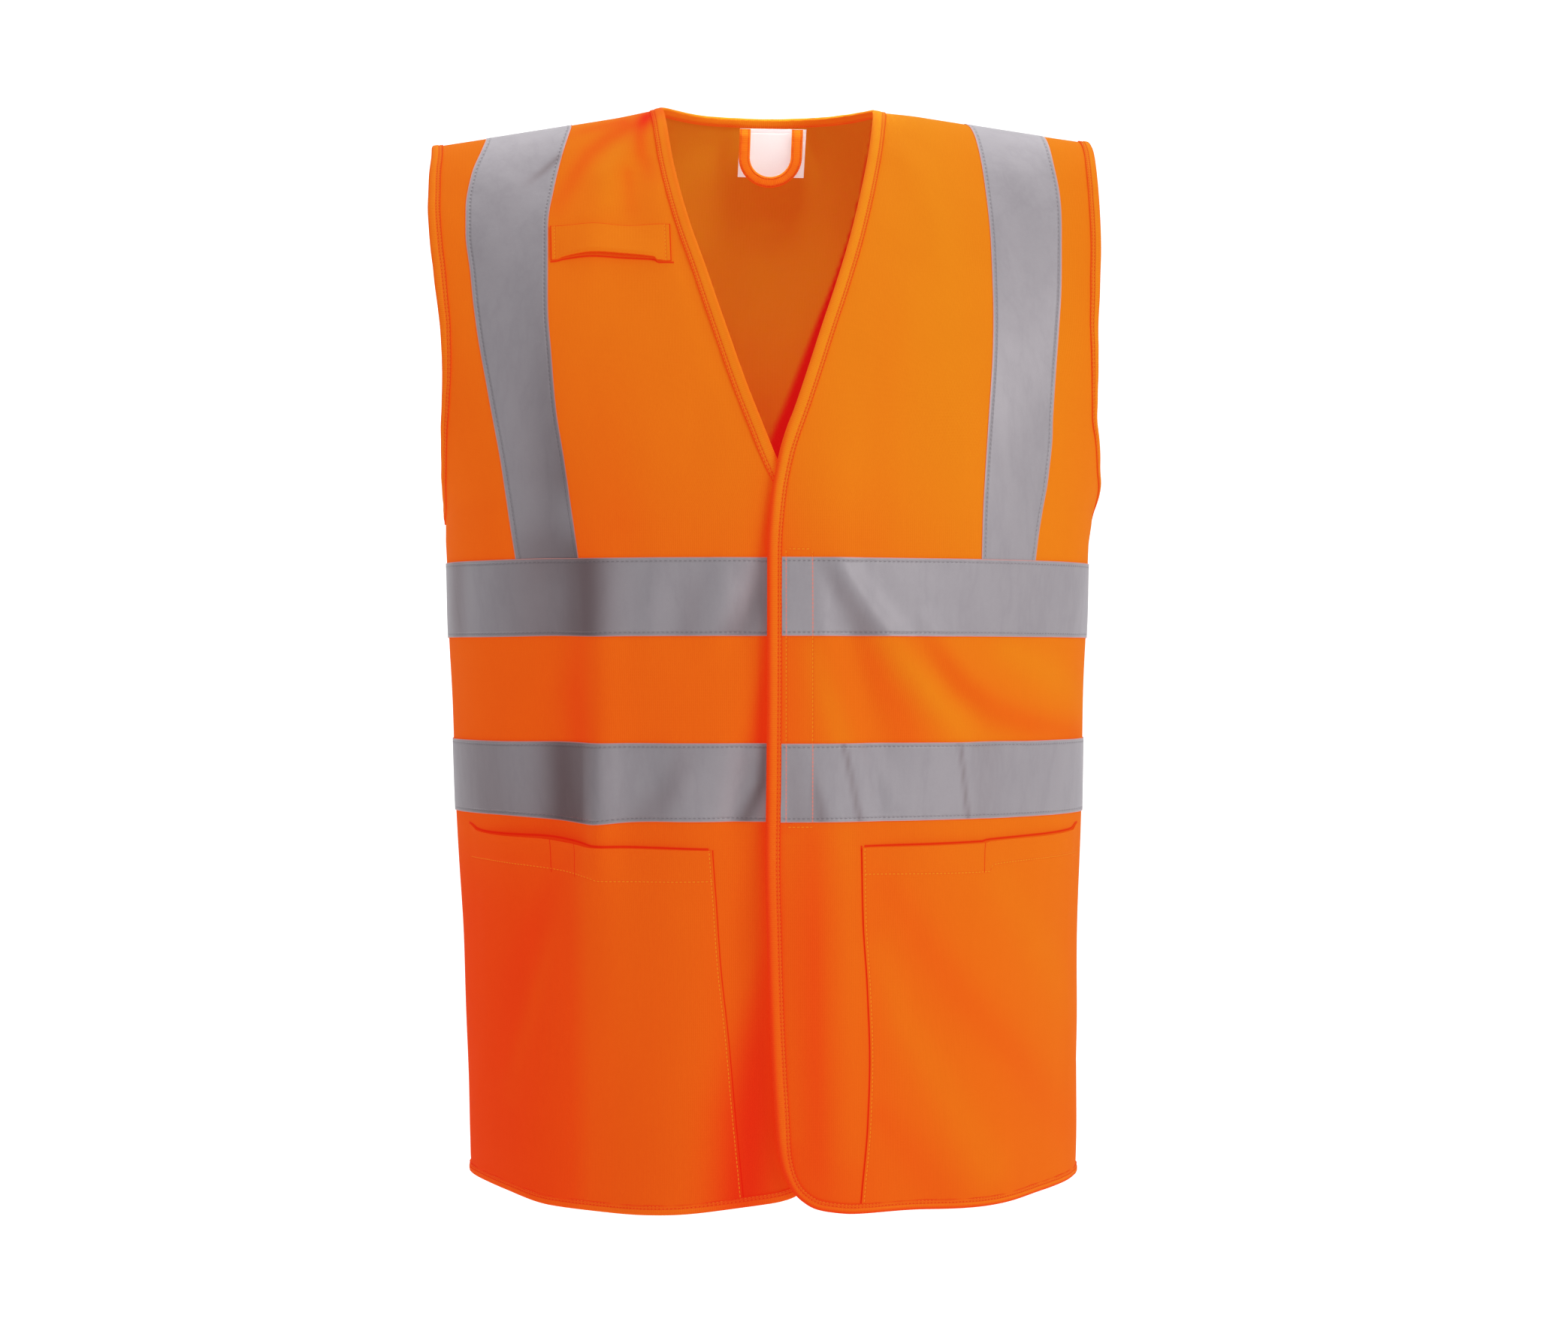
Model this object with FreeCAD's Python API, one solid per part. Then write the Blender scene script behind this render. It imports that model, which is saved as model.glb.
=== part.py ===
import FreeCAD, Part
import math
import os

# High-visibility waistcoat, modelled as worn: two fronts, one back, reflective tapes, bindings,
# pockets, hook-and-loop closure, chest strap, hanging loop and a blank label.
# Millimetres. +Z up, the front faces -Y, +X is the wearer's left, X = 0 is the centre front,
# Z = 0 is the nominal hem level. Every cloth layer is a thin closed solid lying on one body
# surface; a layer's base is its distance outward from that surface.

Vector = FreeCAD.Vector
LEFT, RIGHT = 1, -1        # the wearer's sides, also the sign of x

# ---------------------------------------------------------------- driving dimensions
# cloth
FABRIC = 0.6               # knitted fabric thickness
AIR = 0.4                  # air left between sewn layers
ON_PANEL = FABRIC + AIR    # base of a layer sewn onto a panel
SEAM_T = 0.7               # thickness of the seam allowances

# body
ARMHOLE_Z = 449.0          # bottom of the armholes, top of the side seams
NECK_X, NECK_Z = 73.0, 728.0   # neck points, at the top of the shoulder line
SHOULDER_FALL = 0.160      # shoulder slope
LEAN, LEAN_Z = 0.0150, 351.0   # askew sides: shoulders towards -X, hem towards +X
LEAN_X, LEAN_MAX = 215.0, 1.1  # |x| of the full lean, and the largest share of it

# panels
SPLIT_GAP = 2.2            # room at the line where each front folds open
FRONT_TOP = {LEFT: 622.0, RIGHT: 602.0}   # where the folding parts end below the neck
PANEL_TOP = 716.0          # nominal top used to space the rows of a full-height panel
TOP_GAP = 0.5              # panels stop this far below the shoulder line and back neckline
SEAM_GAP = 0.25            # panels stop this far from the side seam
OVERLAP_LIFT = 4.25        # the left front lies this far above the right one
LIFT_X, LIFT_RUN_X = 61.0, 43.0    # the lift starts at this x and grows over this width
LIFT_Z, LIFT_RUN_Z = 565.0, 60.0   # the same downward from this level

# tapes
TAPE_W = 50.0              # reflective tape width
TAPE_T = 0.4               # reflective tape thickness
TAPE_Z = {"upper": 366.0, "lower": 248.0}   # lower edges of the waist tapes
FOLD_INSET = 0.4           # tapes and pockets stop this far short of the fold line
BRACE_END_Z = TAPE_Z["upper"] + TAPE_W + 0.5
BRACE_NEAR = 34            # down to this drop the brace rows keep their exact drop

# bindings
BIND_W = 8.3               # on the front edges and neck
BACK_NECK_BIND_W = 6.7
ARM_BIND_W = 6.5
HEM_BIND_W = 5.8
BIND_STEP = 6.0            # spacing of the stations along a front binding
NECK_BIND_GAP = 1.2        # neck binding stops this far short of its ends
BACK_NECK_X = NECK_X - 0.6 # half width of the back neck binding's path
SHOULDER_TIP_Z = 704       # level at which the armhole edge's half width is read

# pockets
POCKET_TOP = 231.0         # nominal mouth level
POCKET_GAPE = 2.2          # how far the pocket mouth stands off
GAPE_Z = 60.0              # the pocket starts to stand off here
GAPE_RUN = 40.0            # width over which it rises from its inner edge
GAPE_OUT_X, GAPE_OUT_RUN = 214, 30.0   # it lies flat at this |x|, over this width

# closure and chest strap
STRIP_Z0, STRIP_Z1 = 243.0, 423.0
HOOK_X0, HOOK_X1, HOOK_T = -5.0, 12.8, 0.9
LOOP_STRIP_X0, LOOP_STRIP_X1, LOOP_STRIP_T = -12.6, 5.8, 0.6
LOOP_STRIP_INSET = 2       # the loop strip is this much shorter at each end
STRAP_Z0, STRAP_Z1 = 613.0, 636.0
STRAP_X0, STRAP_X1 = -150.6, -73.0
STRAP_BOW = 4.0            # how far the strap stands off at its middle
STRAP_FLAT = 6             # length lying flat at each end

# hanging loop and label
LOOP_R = 14.5              # inner radius of the hanging loop's round end
LOOP_TAPE_W = 8.0
LOOP_T = 1.6               # thickness of the loop's folded tape
LOOP_DROP = 20.0           # from the loop's top to the middle of its round end
LOOP_TILT = 25.0           # degrees the loop leans back from hanging straight
LABEL_W, LABEL_H, LABEL_T, LABEL_TILT = 47.0, 37.0, 0.3, 33.0
PIVOT_Y, PIVOT_Z = 58.2, 725.0      # line that loop and label swing about
LABEL_BACK, LABEL_DOWN = 0.9, 0.8   # the label's pivot from the loop's


# ---------------------------------------------------------------- curves and spacing
def curve(xs, ys):
    """Smooth monotone curve through points, level beyond its ends."""
    count = len(xs)
    gaps = [float(xs[i + 1] - xs[i]) for i in range(count - 1)]
    slopes = [(ys[i + 1] - ys[i]) / gaps[i] for i in range(count - 1)]
    tangents = [slopes[0]] + [0.0] * (count - 2) + [slopes[-1]]
    for i in range(1, count - 1):
        if slopes[i - 1] * slopes[i] > 0:
            before, after = 2 * gaps[i] + gaps[i - 1], gaps[i] + 2 * gaps[i - 1]
            tangents[i] = (before + after) / (before / slopes[i - 1] + after / slopes[i])

    def value(x):
        x = min(max(x, xs[0]), xs[-1])
        i = 0
        while i < count - 2 and x > xs[i + 1]:
            i += 1
        part = (x - xs[i]) / gaps[i]
        square, cube = part**2, part**3
        return ((2 * cube - 3 * square + 1) * ys[i]
                + (cube - 2 * square + part) * gaps[i] * tangents[i]
                + (-2 * cube + 3 * square) * ys[i + 1]
                + (cube - square) * gaps[i] * tangents[i + 1])
    return value


def ease(share):
    share = min(max(share, 0.0), 1.0)
    return share * share * (3 - 2 * share)


def running_total(steps):
    totals = [0.0]
    for step in steps:
        totals.append(totals[-1] + step)
    return totals


def resample(values, totals, count):
    """The values at count even steps of their running total."""
    found, j = [], 0
    for k in range(count + 1):
        target = totals[-1] * k / count
        while j < len(totals) - 2 and totals[j + 1] < target:
            j += 1
        part = min((target - totals[j]) / (totals[j + 1] - totals[j]), 1.0)
        found.append(values[j] + (values[j + 1] - values[j]) * part)
    return found


def spread(z0, z1, step):
    """Levels from z0 to z1, spaced as step(z) asks."""
    zs = [z0 + (z1 - z0) * i / 400.0 for i in range(401)]
    totals = running_total((b - a) / step((a + b) / 2) for a, b in zip(zs, zs[1:]))
    return resample(zs, totals, math.ceil(totals[-1]))


def even_path(points, step):
    """The same path of (x, z) points at even steps."""
    totals = running_total(math.hypot(b[0] - a[0], b[1] - a[1])
                           for a, b in zip(points, points[1:]))
    count = round(totals[-1] / step)
    return list(zip(*(resample(values, totals, count) for values in zip(*points))))


# ---------------------------------------------------------------- body tables
# each curve: a row of places, then a row of the values there
# half width at each level: side seam below the armhole, armhole edge above it
HALF_WIDTH = curve(
    [0, 60, 110, 160, 210, 260, 310, 360, 400, 449,
     470, 496, 522, 547, 573, 600, 625, 650, 676, 704],
    [207, 208, 209.5, 210.5, 212.5, 214.5, 215.5, 216.8, 217.6, 219.5,
     220.5, 220, 218.2, 216.6, 216.2, 217, 218.8, 220, 221.2, 222.5])
# depth of the front and of the back against the distance below the shoulder line
FRONT_DEPTH = curve(
    [0, 3, 8, 16, 30, 50, 85, 125, 165, 205, 240, 270, 320, 400, 500, 620, 738],
    [0, 9, 19, 30, 45, 63, 90, 115, 136, 151, 160, 165, 168, 169, 167, 164, 161])
BACK_DEPTH = curve(
    [0, 3, 8, 16, 30, 50, 85, 125, 165, 205, 260, 340, 450, 600, 738],
    [0, 12, 28, 46, 66, 84, 108, 124, 134, 139, 141, 138, 134, 134, 137])
# power of the cross-section at each level: a low power hangs straight down from the armhole
POWER_ZS = [-20, 150, 300, 400, ARMHOLE_Z, 760]
FRONT_POWER = curve(POWER_ZS, [0.62, 0.62, 0.53, 0.42, 0.37, 0.37])
BACK_POWER = curve(POWER_ZS, [0.46, 0.46, 0.42, 0.38, 0.35, 0.35])
# share of the depth left at the armhole edge, against the root of the height above its bottom
EDGE_ROOTS = [0, 3, 4.583, 6, 7.141, 8.426, 9.539, 10.536,
              11.446, 12.288, 13.077, 13.820, 14.526, 15.199, 15.969]
FRONT_EDGE_SHARE = curve(EDGE_ROOTS, [
    0, .204, .316, .408, .4795, .5596, .626, .6848,
    .7355, .783, .8268, .8757, .9196, .962, .9863])
BACK_EDGE_SHARE = curve(EDGE_ROOTS, [
    0, .292, .397, .4748, .534, .606, .665, .7136,
    .7588, .80, .841, .8825, .9255, .964, .9864])

# ---------------------------------------------------------------- outline tables
# x of each front's centre edge and neckline against z; the right one passes under the left
EDGE = {
    LEFT: curve(
        [20, 35, 75, 125, 174, 224, 274, 374, 418, 453,
         481, 519, 542, 566, 595, 626, 661, 691, 717, 728],
        [-2.0, -7.2, -10.8, -13.4, -15.0, -16.1, -15.7, -15.3, -15.2, -12.6,
         -7.3, 6.0, 14.3, 22.9, 33.8, 44.7, 55.4, 63.8, 70.2, 73.0]),
    RIGHT: curve(
        [24, 36, 60, 120, 374, 395, 418, 436, 453, 470, 478,
         503, 529, 555, 581, 608, 636, 659, 689, 714, 728],
        [13.0, 15.0, 15.3, 15.3, 15.3, 15.2, 13.5, 9.0, 1.5, -6.0, -9.8,
         -19.4, -28.8, -37.0, -44.7, -52.2, -60.3, -65.4, -70.0, -72.0, -73.0])}
# hem level against x
HEM = {
    LEFT: curve([-7.2, -5, -2, 0.4, 6, 15.5, 27, 38, 83, 128, 171, 207],
                [35, 27, 19.5, 15.0, 8.5, 2.6, 0.2, -1.2, -2.7, -4.6, -2.7, -1.3]),
    RIGHT: curve([-207, -202, -183, -152, -118, -83, -44, -20, 0.4, 8, 13, 15],
                 [10.5, 9.5, 3.8, -2.0, -3.5, -2.5, 0.4, 4.0, 9.0, 14.5, 23.0, 36.0])}
BACK_HEM = curve([-207, -180, -120, 0, 120, 207], [10.5, 5.0, 0.5, 0.0, 0.0, -1.3])
# (x, z) where the centre edge turns into the round corner
CORNER = {LEFT: (-7.2, 35.0), RIGHT: (15.0, 36.0)}
# |x| of the line where each front folds open, against z
FOLD = curve([-10, 0, 200, 400, 500, 540, 585, 625, 645, 728],
             [150.5, 150, 131, 110, 97, 90, 74, 57.9, 50, 40])
# |x| of the pocket's inner edge against z
POCKET_EDGE = {
    LEFT: curve([5, 53, 98, 143, 184, 232], [44.1, 48.6, 50.0, 48.3, 45.6, 44.4]),
    RIGHT: curve([5, 15, 65, 110, 159, 199, 229], [31.0, 32.0, 37.0, 41.0, 46.0, 48.6, 50.6])}
# level of the pocket mouth against |x|: it rises a little towards the side seam
POCKET_MOUTH = {
    LEFT: curve([40, 134, 193, 215], [231.5, 233.0, 236.0, 237.0]),
    RIGHT: curve([40, 90, 122, 160, 190, 215], [229.5, 230.5, 232.0, 235.5, 238.0, 239.0])}
# |x| of the brace tape's edges on the front against z
BRACE_INNER = {
    LEFT: curve([416, 445, 481, 517, 553, 591, 635, 670, 701, 723],
                [124.7, 125.8, 128.4, 132.1, 135.8, 138.3, 139.8, 139.9, 139.1, 135.6]),
    RIGHT: curve([415, 445, 480, 515, 551, 577, 615, 637, 665, 686, 715],
                 [134.4, 138.9, 144.0, 149.0, 151.3, 152.7, 152.4, 152.1, 148.1, 143.6, 135.2])}
BRACE_OUTER = {
    LEFT: curve([416, 436, 467, 498, 540, 582, 626, 660, 690, 714],
                [164.1, 166.7, 172.6, 177.3, 180.3, 185.0, 188.6, 190.7, 188.9, 188.2]),
    RIGHT: curve([416, 451, 486, 527, 568, 605, 632, 655, 678, 706],
                 [174.8, 180.4, 185.6, 192.2, 198.3, 200.8, 203.4, 203.5, 201.0, 193.0])}
# drops of the brace tape's rows below the shoulder line, stretched beyond BRACE_NEAR
BRACE_DROPS = [0.0, 1.4, 3.2, 5.6, 9, 13.5, 19, 26, 34, 43, 53, 65, 78, 92,
               106, 120, 134, 148, 162, 176, 190, 204, 218, 232, 246, 260, 274, 288]


# ---------------------------------------------------------------- the body surface
def shoulder_front(x):
    return NECK_Z - (abs(x) - NECK_X) * SHOULDER_FALL


def shoulder_back(x):
    if abs(x) >= NECK_X:
        return shoulder_front(x)
    return NECK_Z + 30.8 * (1 - (x / NECK_X) ** 2) ** 1.35


def back_top(x):
    """Top of the back panel: shoulder line and back neckline."""
    if abs(x) >= NECK_X:
        return shoulder_back(x) - TOP_GAP
    return NECK_Z + 3.8 * (1 - (x / NECK_X) ** 2) - TOP_GAP


def section(x, z, edge_share, power):
    """Share of the depth at x, for one level."""
    fall = 1.0
    if z > ARMHOLE_Z:
        fall = 1 - edge_share(math.sqrt(z - ARMHOLE_Z)) ** (1 / power)
    return max(1 - fall * (x / HALF_WIDTH(z)) ** 2, 0.0) ** power


def front_y(x, z):
    depth = FRONT_DEPTH(max(shoulder_front(x) - z, 0.0))
    return -depth * section(x, z, FRONT_EDGE_SHARE, FRONT_POWER(z))


def back_y(x, z):
    depth = BACK_DEPTH(max(shoulder_back(x) - z, 0.0))
    return depth * section(x, z, BACK_EDGE_SHARE, BACK_POWER(z))


# A place on the surface is (girth, z): girth runs round the body from the centre front,
# positive to the wearer's left, evenly along each level of the front and of the back.
SEAM_GIRTH = 290.0         # at the side seam
BACK_GIRTH = 275.0         # from the side seam to the centre back
HALF_GIRTH = SEAM_GIRTH + BACK_GIRTH
GIRTH_STEPS, LEVELS, FIRST_LEVEL, LEVEL_STEP = 160, 156, -15.0, 5.0


def even_shares(z, y_of):
    """x as a share of the half width, at even steps of length along one level."""
    shares = [math.sin(math.pi / 2 * i / 240) for i in range(241)]
    xs = [HALF_WIDTH(z) * share for share in shares]
    ys = [y_of(x, z) for x in xs]
    totals = running_total(math.hypot(xs[i + 1] - xs[i], ys[i + 1] - ys[i])
                           for i in range(240))
    return resample(shares, totals, GIRTH_STEPS)


FRONT_SHARES, BACK_SHARES = (
    [even_shares(FIRST_LEVEL + LEVEL_STEP * i, y_of) for i in range(LEVELS)]
    for y_of in (front_y, back_y))


def x_at(girth, z):
    """x of a place, and whether it is on the back."""
    while girth > HALF_GIRTH:
        girth -= 2 * HALF_GIRTH
    while girth < -HALF_GIRTH:
        girth += 2 * HALF_GIRTH
    distance = abs(girth)
    back = distance > SEAM_GIRTH
    table = BACK_SHARES if back else FRONT_SHARES
    share = (HALF_GIRTH - distance) / BACK_GIRTH if back else distance / SEAM_GIRTH
    column = min(max(share, 0.0), 1.0) * GIRTH_STEPS
    k = min(int(column), GIRTH_STEPS - 1)
    row = min(max((z - FIRST_LEVEL) / LEVEL_STEP, 0.0), LEVELS - 1.001)
    i = int(row)
    low, high = (line[k] + (line[k + 1] - line[k]) * (column - k) for line in table[i:i + 2])
    return math.copysign(HALF_WIDTH(z) * (low + (high - low) * (row - i)), girth), back


def point_at(x, z, back=False):
    return Vector(x, back_y(x, z) if back else front_y(x, z), z)


def place(girth, z):
    x, back = x_at(girth, z)
    return point_at(x, z, back)


def girth_at(x, z, back=False):
    """The girth of an x on the front or back at this level."""
    reach = min(abs(x), HALF_WIDTH(z))
    low, high = (SEAM_GIRTH + 1e-9, HALF_GIRTH) if back else (0.0, SEAM_GIRTH)
    trend = -1 if back else 1
    for _ in range(40):
        middle = (low + high) / 2
        if trend * abs(x_at(middle, z)[0]) < trend * reach:
            low = middle
        else:
            high = middle
    return math.copysign((low + high) / 2, x)


def unit(vector):
    vector.normalize()
    return vector


def normal(girth, z):
    """Outward normal, taken inside the same cloth so that it holds at an edge."""
    before, after = girth - 1, girth + 1
    if z > ARMHOLE_Z - 0.5:
        for seam in (SEAM_GIRTH, -SEAM_GIRTH, 2 * HALF_GIRTH - SEAM_GIRTH):
            if abs(girth - seam) < 1:
                if girth <= seam:
                    before, after = seam - 2, seam - 0.02
                else:
                    before, after = seam + 0.02, seam + 2
    x, back = x_at(girth, z)
    top = (shoulder_back(x) if back else shoulder_front(x)) - 0.02
    above = min(z + 0.7, top)
    below = above - 1.4
    along = place(after, z) - place(before, z)
    return unit(along.cross(place(girth, above) - place(girth, below)))


# ---------------------------------------------------------------- solids from layers
def spline_poles(points):
    """Poles of the even cubic spline through a row of points."""
    last = len(points) - 1

    def bend(a, b, c, d):
        return (a - b * 2 + c) * 2 - (b - c * 2 + d)
    inner = [None] * (last + 1)
    inner[0] = points[0] - bend(*points[:4]) * (1 / 6.0)
    inner[last] = points[last] - bend(*points[:-5:-1]) * (1 / 6.0)
    pivots, rests = [None], [None]
    for k in range(1, last):
        pivot, rest = 4.0, points[k] * 6
        if k == last - 1:
            rest = rest - inner[last]
        if k == 1:
            rest = rest - inner[0]
        else:
            pivot -= 1 / pivots[-1]
            rest = rest - rests[-1] * (1 / pivots[-1])
        pivots.append(pivot)
        rests.append(rest)
    for k in range(last - 1, 0, -1):
        rest = rests[k] - inner[k + 1] if k < last - 1 else rests[k]
        inner[k] = rest * (1 / pivots[k])
    return ([points[0], (inner[0] * 2 + inner[1]) * (1 / 3.0)] + inner[1:last]
            + [(inner[last - 1] + inner[last] * 2) * (1 / 3.0), points[last]])


def multiplicities(spans):
    return [4] + [1] * (spans - 1) + [4]


def even_knots(spans):
    return [float(i) for i in range(spans + 1)]


def skin(grid):
    rows = [spline_poles(row) for row in grid]
    columns = [spline_poles(list(column)) for column in zip(*rows)]
    poles = [list(row) for row in zip(*columns)]
    rows_n, columns_n = len(grid) - 1, len(grid[0]) - 1
    surface = Part.BSplineSurface()
    surface.buildFromPolesMultsKnots(
        poles, multiplicities(rows_n), multiplicities(columns_n),
        even_knots(rows_n), even_knots(columns_n), False, False, 3, 3)
    return surface


def spline(points):
    spans = len(points) - 1
    line = Part.BSplineCurve()
    line.buildFromPolesMultsKnots(
        spline_poles(points), multiplicities(spans), even_knots(spans), False, 3)
    return line.toShape()


def closed(faces):
    shell = Part.makeShell(faces)
    shell.sewShape(1e-4)
    solid = Part.makeSolid(shell)
    if solid.Volume < 0:
        solid.reverse()
    # guards against small gaps that sewing leaves at the seams of curved faces
    if not solid.isValid() or not shell.isClosed():
        fixed = solid.copy()
        fixed.fix(1e-4, 1e-4, 1e-4)
        if fixed.isValid():
            solid = fixed
    return solid


def askew(point):
    """A point where the sides' small lean puts it; centre front and back stay upright."""
    share = min((point.x / LEAN_X) ** 2, LEAN_MAX)
    return Vector(point.x - LEAN * (point.z - LEAN_Z) * share, point.y, point.z)


def layer(inner, outer):
    """A closed solid between two grids of points."""
    a, b = (skin([[askew(point) for point in row] for row in grid]) for grid in (inner, outer))
    a_u0, a_u1, a_v0, a_v1 = a.bounds()
    b_u0, b_u1, b_v0, b_v1 = b.bounds()
    faces = [a.toShape(), b.toShape()]
    for a_rim, b_rim in ((a.uIso(a_u0), b.uIso(b_u0)), (a.uIso(a_u1), b.uIso(b_u1)),
                         (a.vIso(a_v0), b.vIso(b_v0)), (a.vIso(a_v1), b.vIso(b_v1))):
        faces.append(Part.makeRuledSurface(a_rim.toShape(), b_rim.toShape()))
    return closed(faces)


def no_lift(girth, z):
    return 0.0


def lift_left(girth, z):
    """The left front rises over the right one near the centre."""
    x, back = x_at(girth, z)
    if back:
        return 0.0
    return OVERLAP_LIFT * ease((LIFT_X - x) / LIFT_RUN_X) * ease((LIFT_Z - z) / LIFT_RUN_Z)


LIFT = {LEFT: lift_left, RIGHT: no_lift}


def sheet(where, columns, rows, base, thickness, lift=no_lift):
    """Cloth over the patch where(across, up) -> (girth, z); base is a number or a function."""
    inner, outer = [], []
    for j in range(rows + 1):
        inner_row, outer_row = [], []
        for i in range(columns + 1):
            girth, z = where(i / columns, j / rows)
            point, out = place(girth, z), normal(girth, z)
            height = (base(girth, z) if callable(base) else base) + lift(girth, z)
            inner_row.append(point + out * height)
            outer_row.append(point + out * (height + thickness))
        inner.append(inner_row)
        outer.append(outer_row)
    return layer(inner, outer)


def channel(stations, slack=0.0, beyond=0.5):
    """Folded binding: a U-shaped strip that wraps an edge. A station is (edge, inside, normal
    at the edge, normal at the inside); slack is extra air over and under the cloth."""
    over, under = ON_PANEL + slack, -AIR - slack
    tracks = [[] for _ in range(8)]
    for edge, inside, edge_out, inside_out in stations:
        away = unit(edge - inside)
        lip, tip = edge + away * beyond, edge + away * (beyond + FABRIC)
        ring = [inside + inside_out * (over + FABRIC), tip + edge_out * (over + FABRIC),
                tip + edge_out * (under - FABRIC), inside + inside_out * (under - FABRIC),
                inside + inside_out * under, lip + edge_out * under,
                lip + edge_out * over, inside + inside_out * over]
        for track, point in zip(tracks, ring):
            track.append(askew(point))
    edges = [spline(track) for track in tracks]
    faces = [Part.makeRuledSurface(edges[k], edges[(k + 1) % 8]) for k in range(8)]
    for end in (0, -1):
        ring = [track[end] for track in tracks]
        for k in range(3):
            faces.append(Part.makeRuledSurface(Part.makeLine(ring[k], ring[k + 1]),
                                               Part.makeLine(ring[7 - k], ring[6 - k])))
    return closed(faces)


# ---------------------------------------------------------------- patches
# rows of a full-height panel, as (below the armhole?, share of that part's height): close
# together at the bottom of the armhole and at the shoulder
LOW_ZS = spread(0.0, ARMHOLE_Z, lambda z: min(14.0, 0.7 + 0.25 * (ARMHOLE_Z - z)))
HIGH_ZS = spread(ARMHOLE_Z, PANEL_TOP, lambda z: min(
    14.0, 0.7 + 0.25 * (z - ARMHOLE_Z), 1.0 + 0.2 * (PANEL_TOP - z)))
PANEL_ROWS = ([(True, z / ARMHOLE_Z) for z in LOW_ZS]
              + [(False, (z - ARMHOLE_Z) / (PANEL_TOP - ARMHOLE_Z)) for z in HIGH_ZS[1:]])


def patch(start, end, bottom, top, warp=1.0, rows=None):
    """Between girths start(z), end(z) and levels bottom(x), top(x)."""
    def where(across, up):
        z = 300.0
        across = across ** warp
        # girth and level depend on each other, so they are settled by repetition
        for _ in range(9):
            first = start(z)
            girth = first + (end(z) - first) * across
            x = x_at(girth, z)[0]
            low, high = bottom(x), top(x)
            if rows:
                below, share = rows[int(round(up * (len(rows) - 1)))]
                z = (low + (ARMHOLE_Z - low) * share if below
                     else ARMHOLE_Z + (high - ARMHOLE_Z) * share)
            else:
                z = low + (high - low) * up
        return girth, z
    return where


def band(start, end, z0, z1):
    """Between girths start(z), end(z) and two fixed levels."""
    def where(across, up):
        z = z0 + (z1 - z0) * up
        return start(z) + (end(z) - start(z)) * across, z
    return where


def x_band(x0, x1, z0, z1):
    """An upright rectangle on the front."""
    def where(across, up):
        z = z0 + (z1 - z0) * up
        return girth_at(x0 + (x1 - x0) * across, z), z
    return where


def edge_girth(side, z, inset=0.0):
    return girth_at(EDGE[side](z) + side * inset, z)


def fold_girth(side, z, offset=0.0):
    return girth_at(side * (FOLD(z) + offset), z)


# ---------------------------------------------------------------- fronts
def front_panel(side):
    """Folding part of the front."""
    where = patch(lambda z: edge_girth(side, z), lambda z: fold_girth(side, z),
                  HEM[side], lambda x: FRONT_TOP[side], warp=1.6)
    return sheet(where, 24, 50, 0.0, FABRIC, LIFT[side])


def front_side_panel(side):
    """Fixed side and shoulder part of the front."""
    def inner_side(z):
        # smooth maximum of the neckline and the fold line
        edge, fold = side * edge_girth(side, z), side * fold_girth(side, z, SPLIT_GAP)
        return side * ((edge + fold) / 2 + math.hypot((edge - fold) / 2, 2.0))
    where = patch(inner_side, lambda z: side * (SEAM_GIRTH - SEAM_GAP), HEM[side],
                  lambda x: shoulder_front(x) - TOP_GAP, rows=PANEL_ROWS)
    return sheet(where, 24, len(PANEL_ROWS) - 1, 0.0, FABRIC)


def front_tape(side, z0):
    """Waist tape on the folding part."""
    where = band(lambda z: edge_girth(side, z, BIND_W + 0.5),
                 lambda z: fold_girth(side, z, -FOLD_INSET), z0, z0 + TAPE_W)
    return sheet(where, 12, 4, ON_PANEL, TAPE_T, LIFT[side])


def pocket(side, start, end, lift=no_lift):
    def stand(girth, z):
        x = abs(x_at(girth, z)[0])
        body = ease((x - POCKET_EDGE[side](z)) / GAPE_RUN)
        rise = POCKET_GAPE * max((z - GAPE_Z) / (POCKET_TOP - GAPE_Z), 0.0) ** 2
        return ON_PANEL + body * rise * ease((GAPE_OUT_X - x) / GAPE_OUT_RUN)
    where = patch(start, end, lambda x: HEM[side](x) + HEM_BIND_W + 1.3,
                  lambda x: POCKET_MOUTH[side](abs(x)))
    return sheet(where, 12, 20, stand, FABRIC, lift)


def front_pocket(side):
    """Pocket on the folding part."""
    return pocket(side, lambda z: girth_at(side * POCKET_EDGE[side](z), z),
                  lambda z: fold_girth(side, z, -FOLD_INSET), LIFT[side])


def pocket_side(side):
    """Pocket on the fixed part, running to the side seam."""
    return pocket(side, lambda z: fold_girth(side, z, SPLIT_GAP + 1.8),
                  lambda z: side * (SEAM_GIRTH - 2.0))


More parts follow.
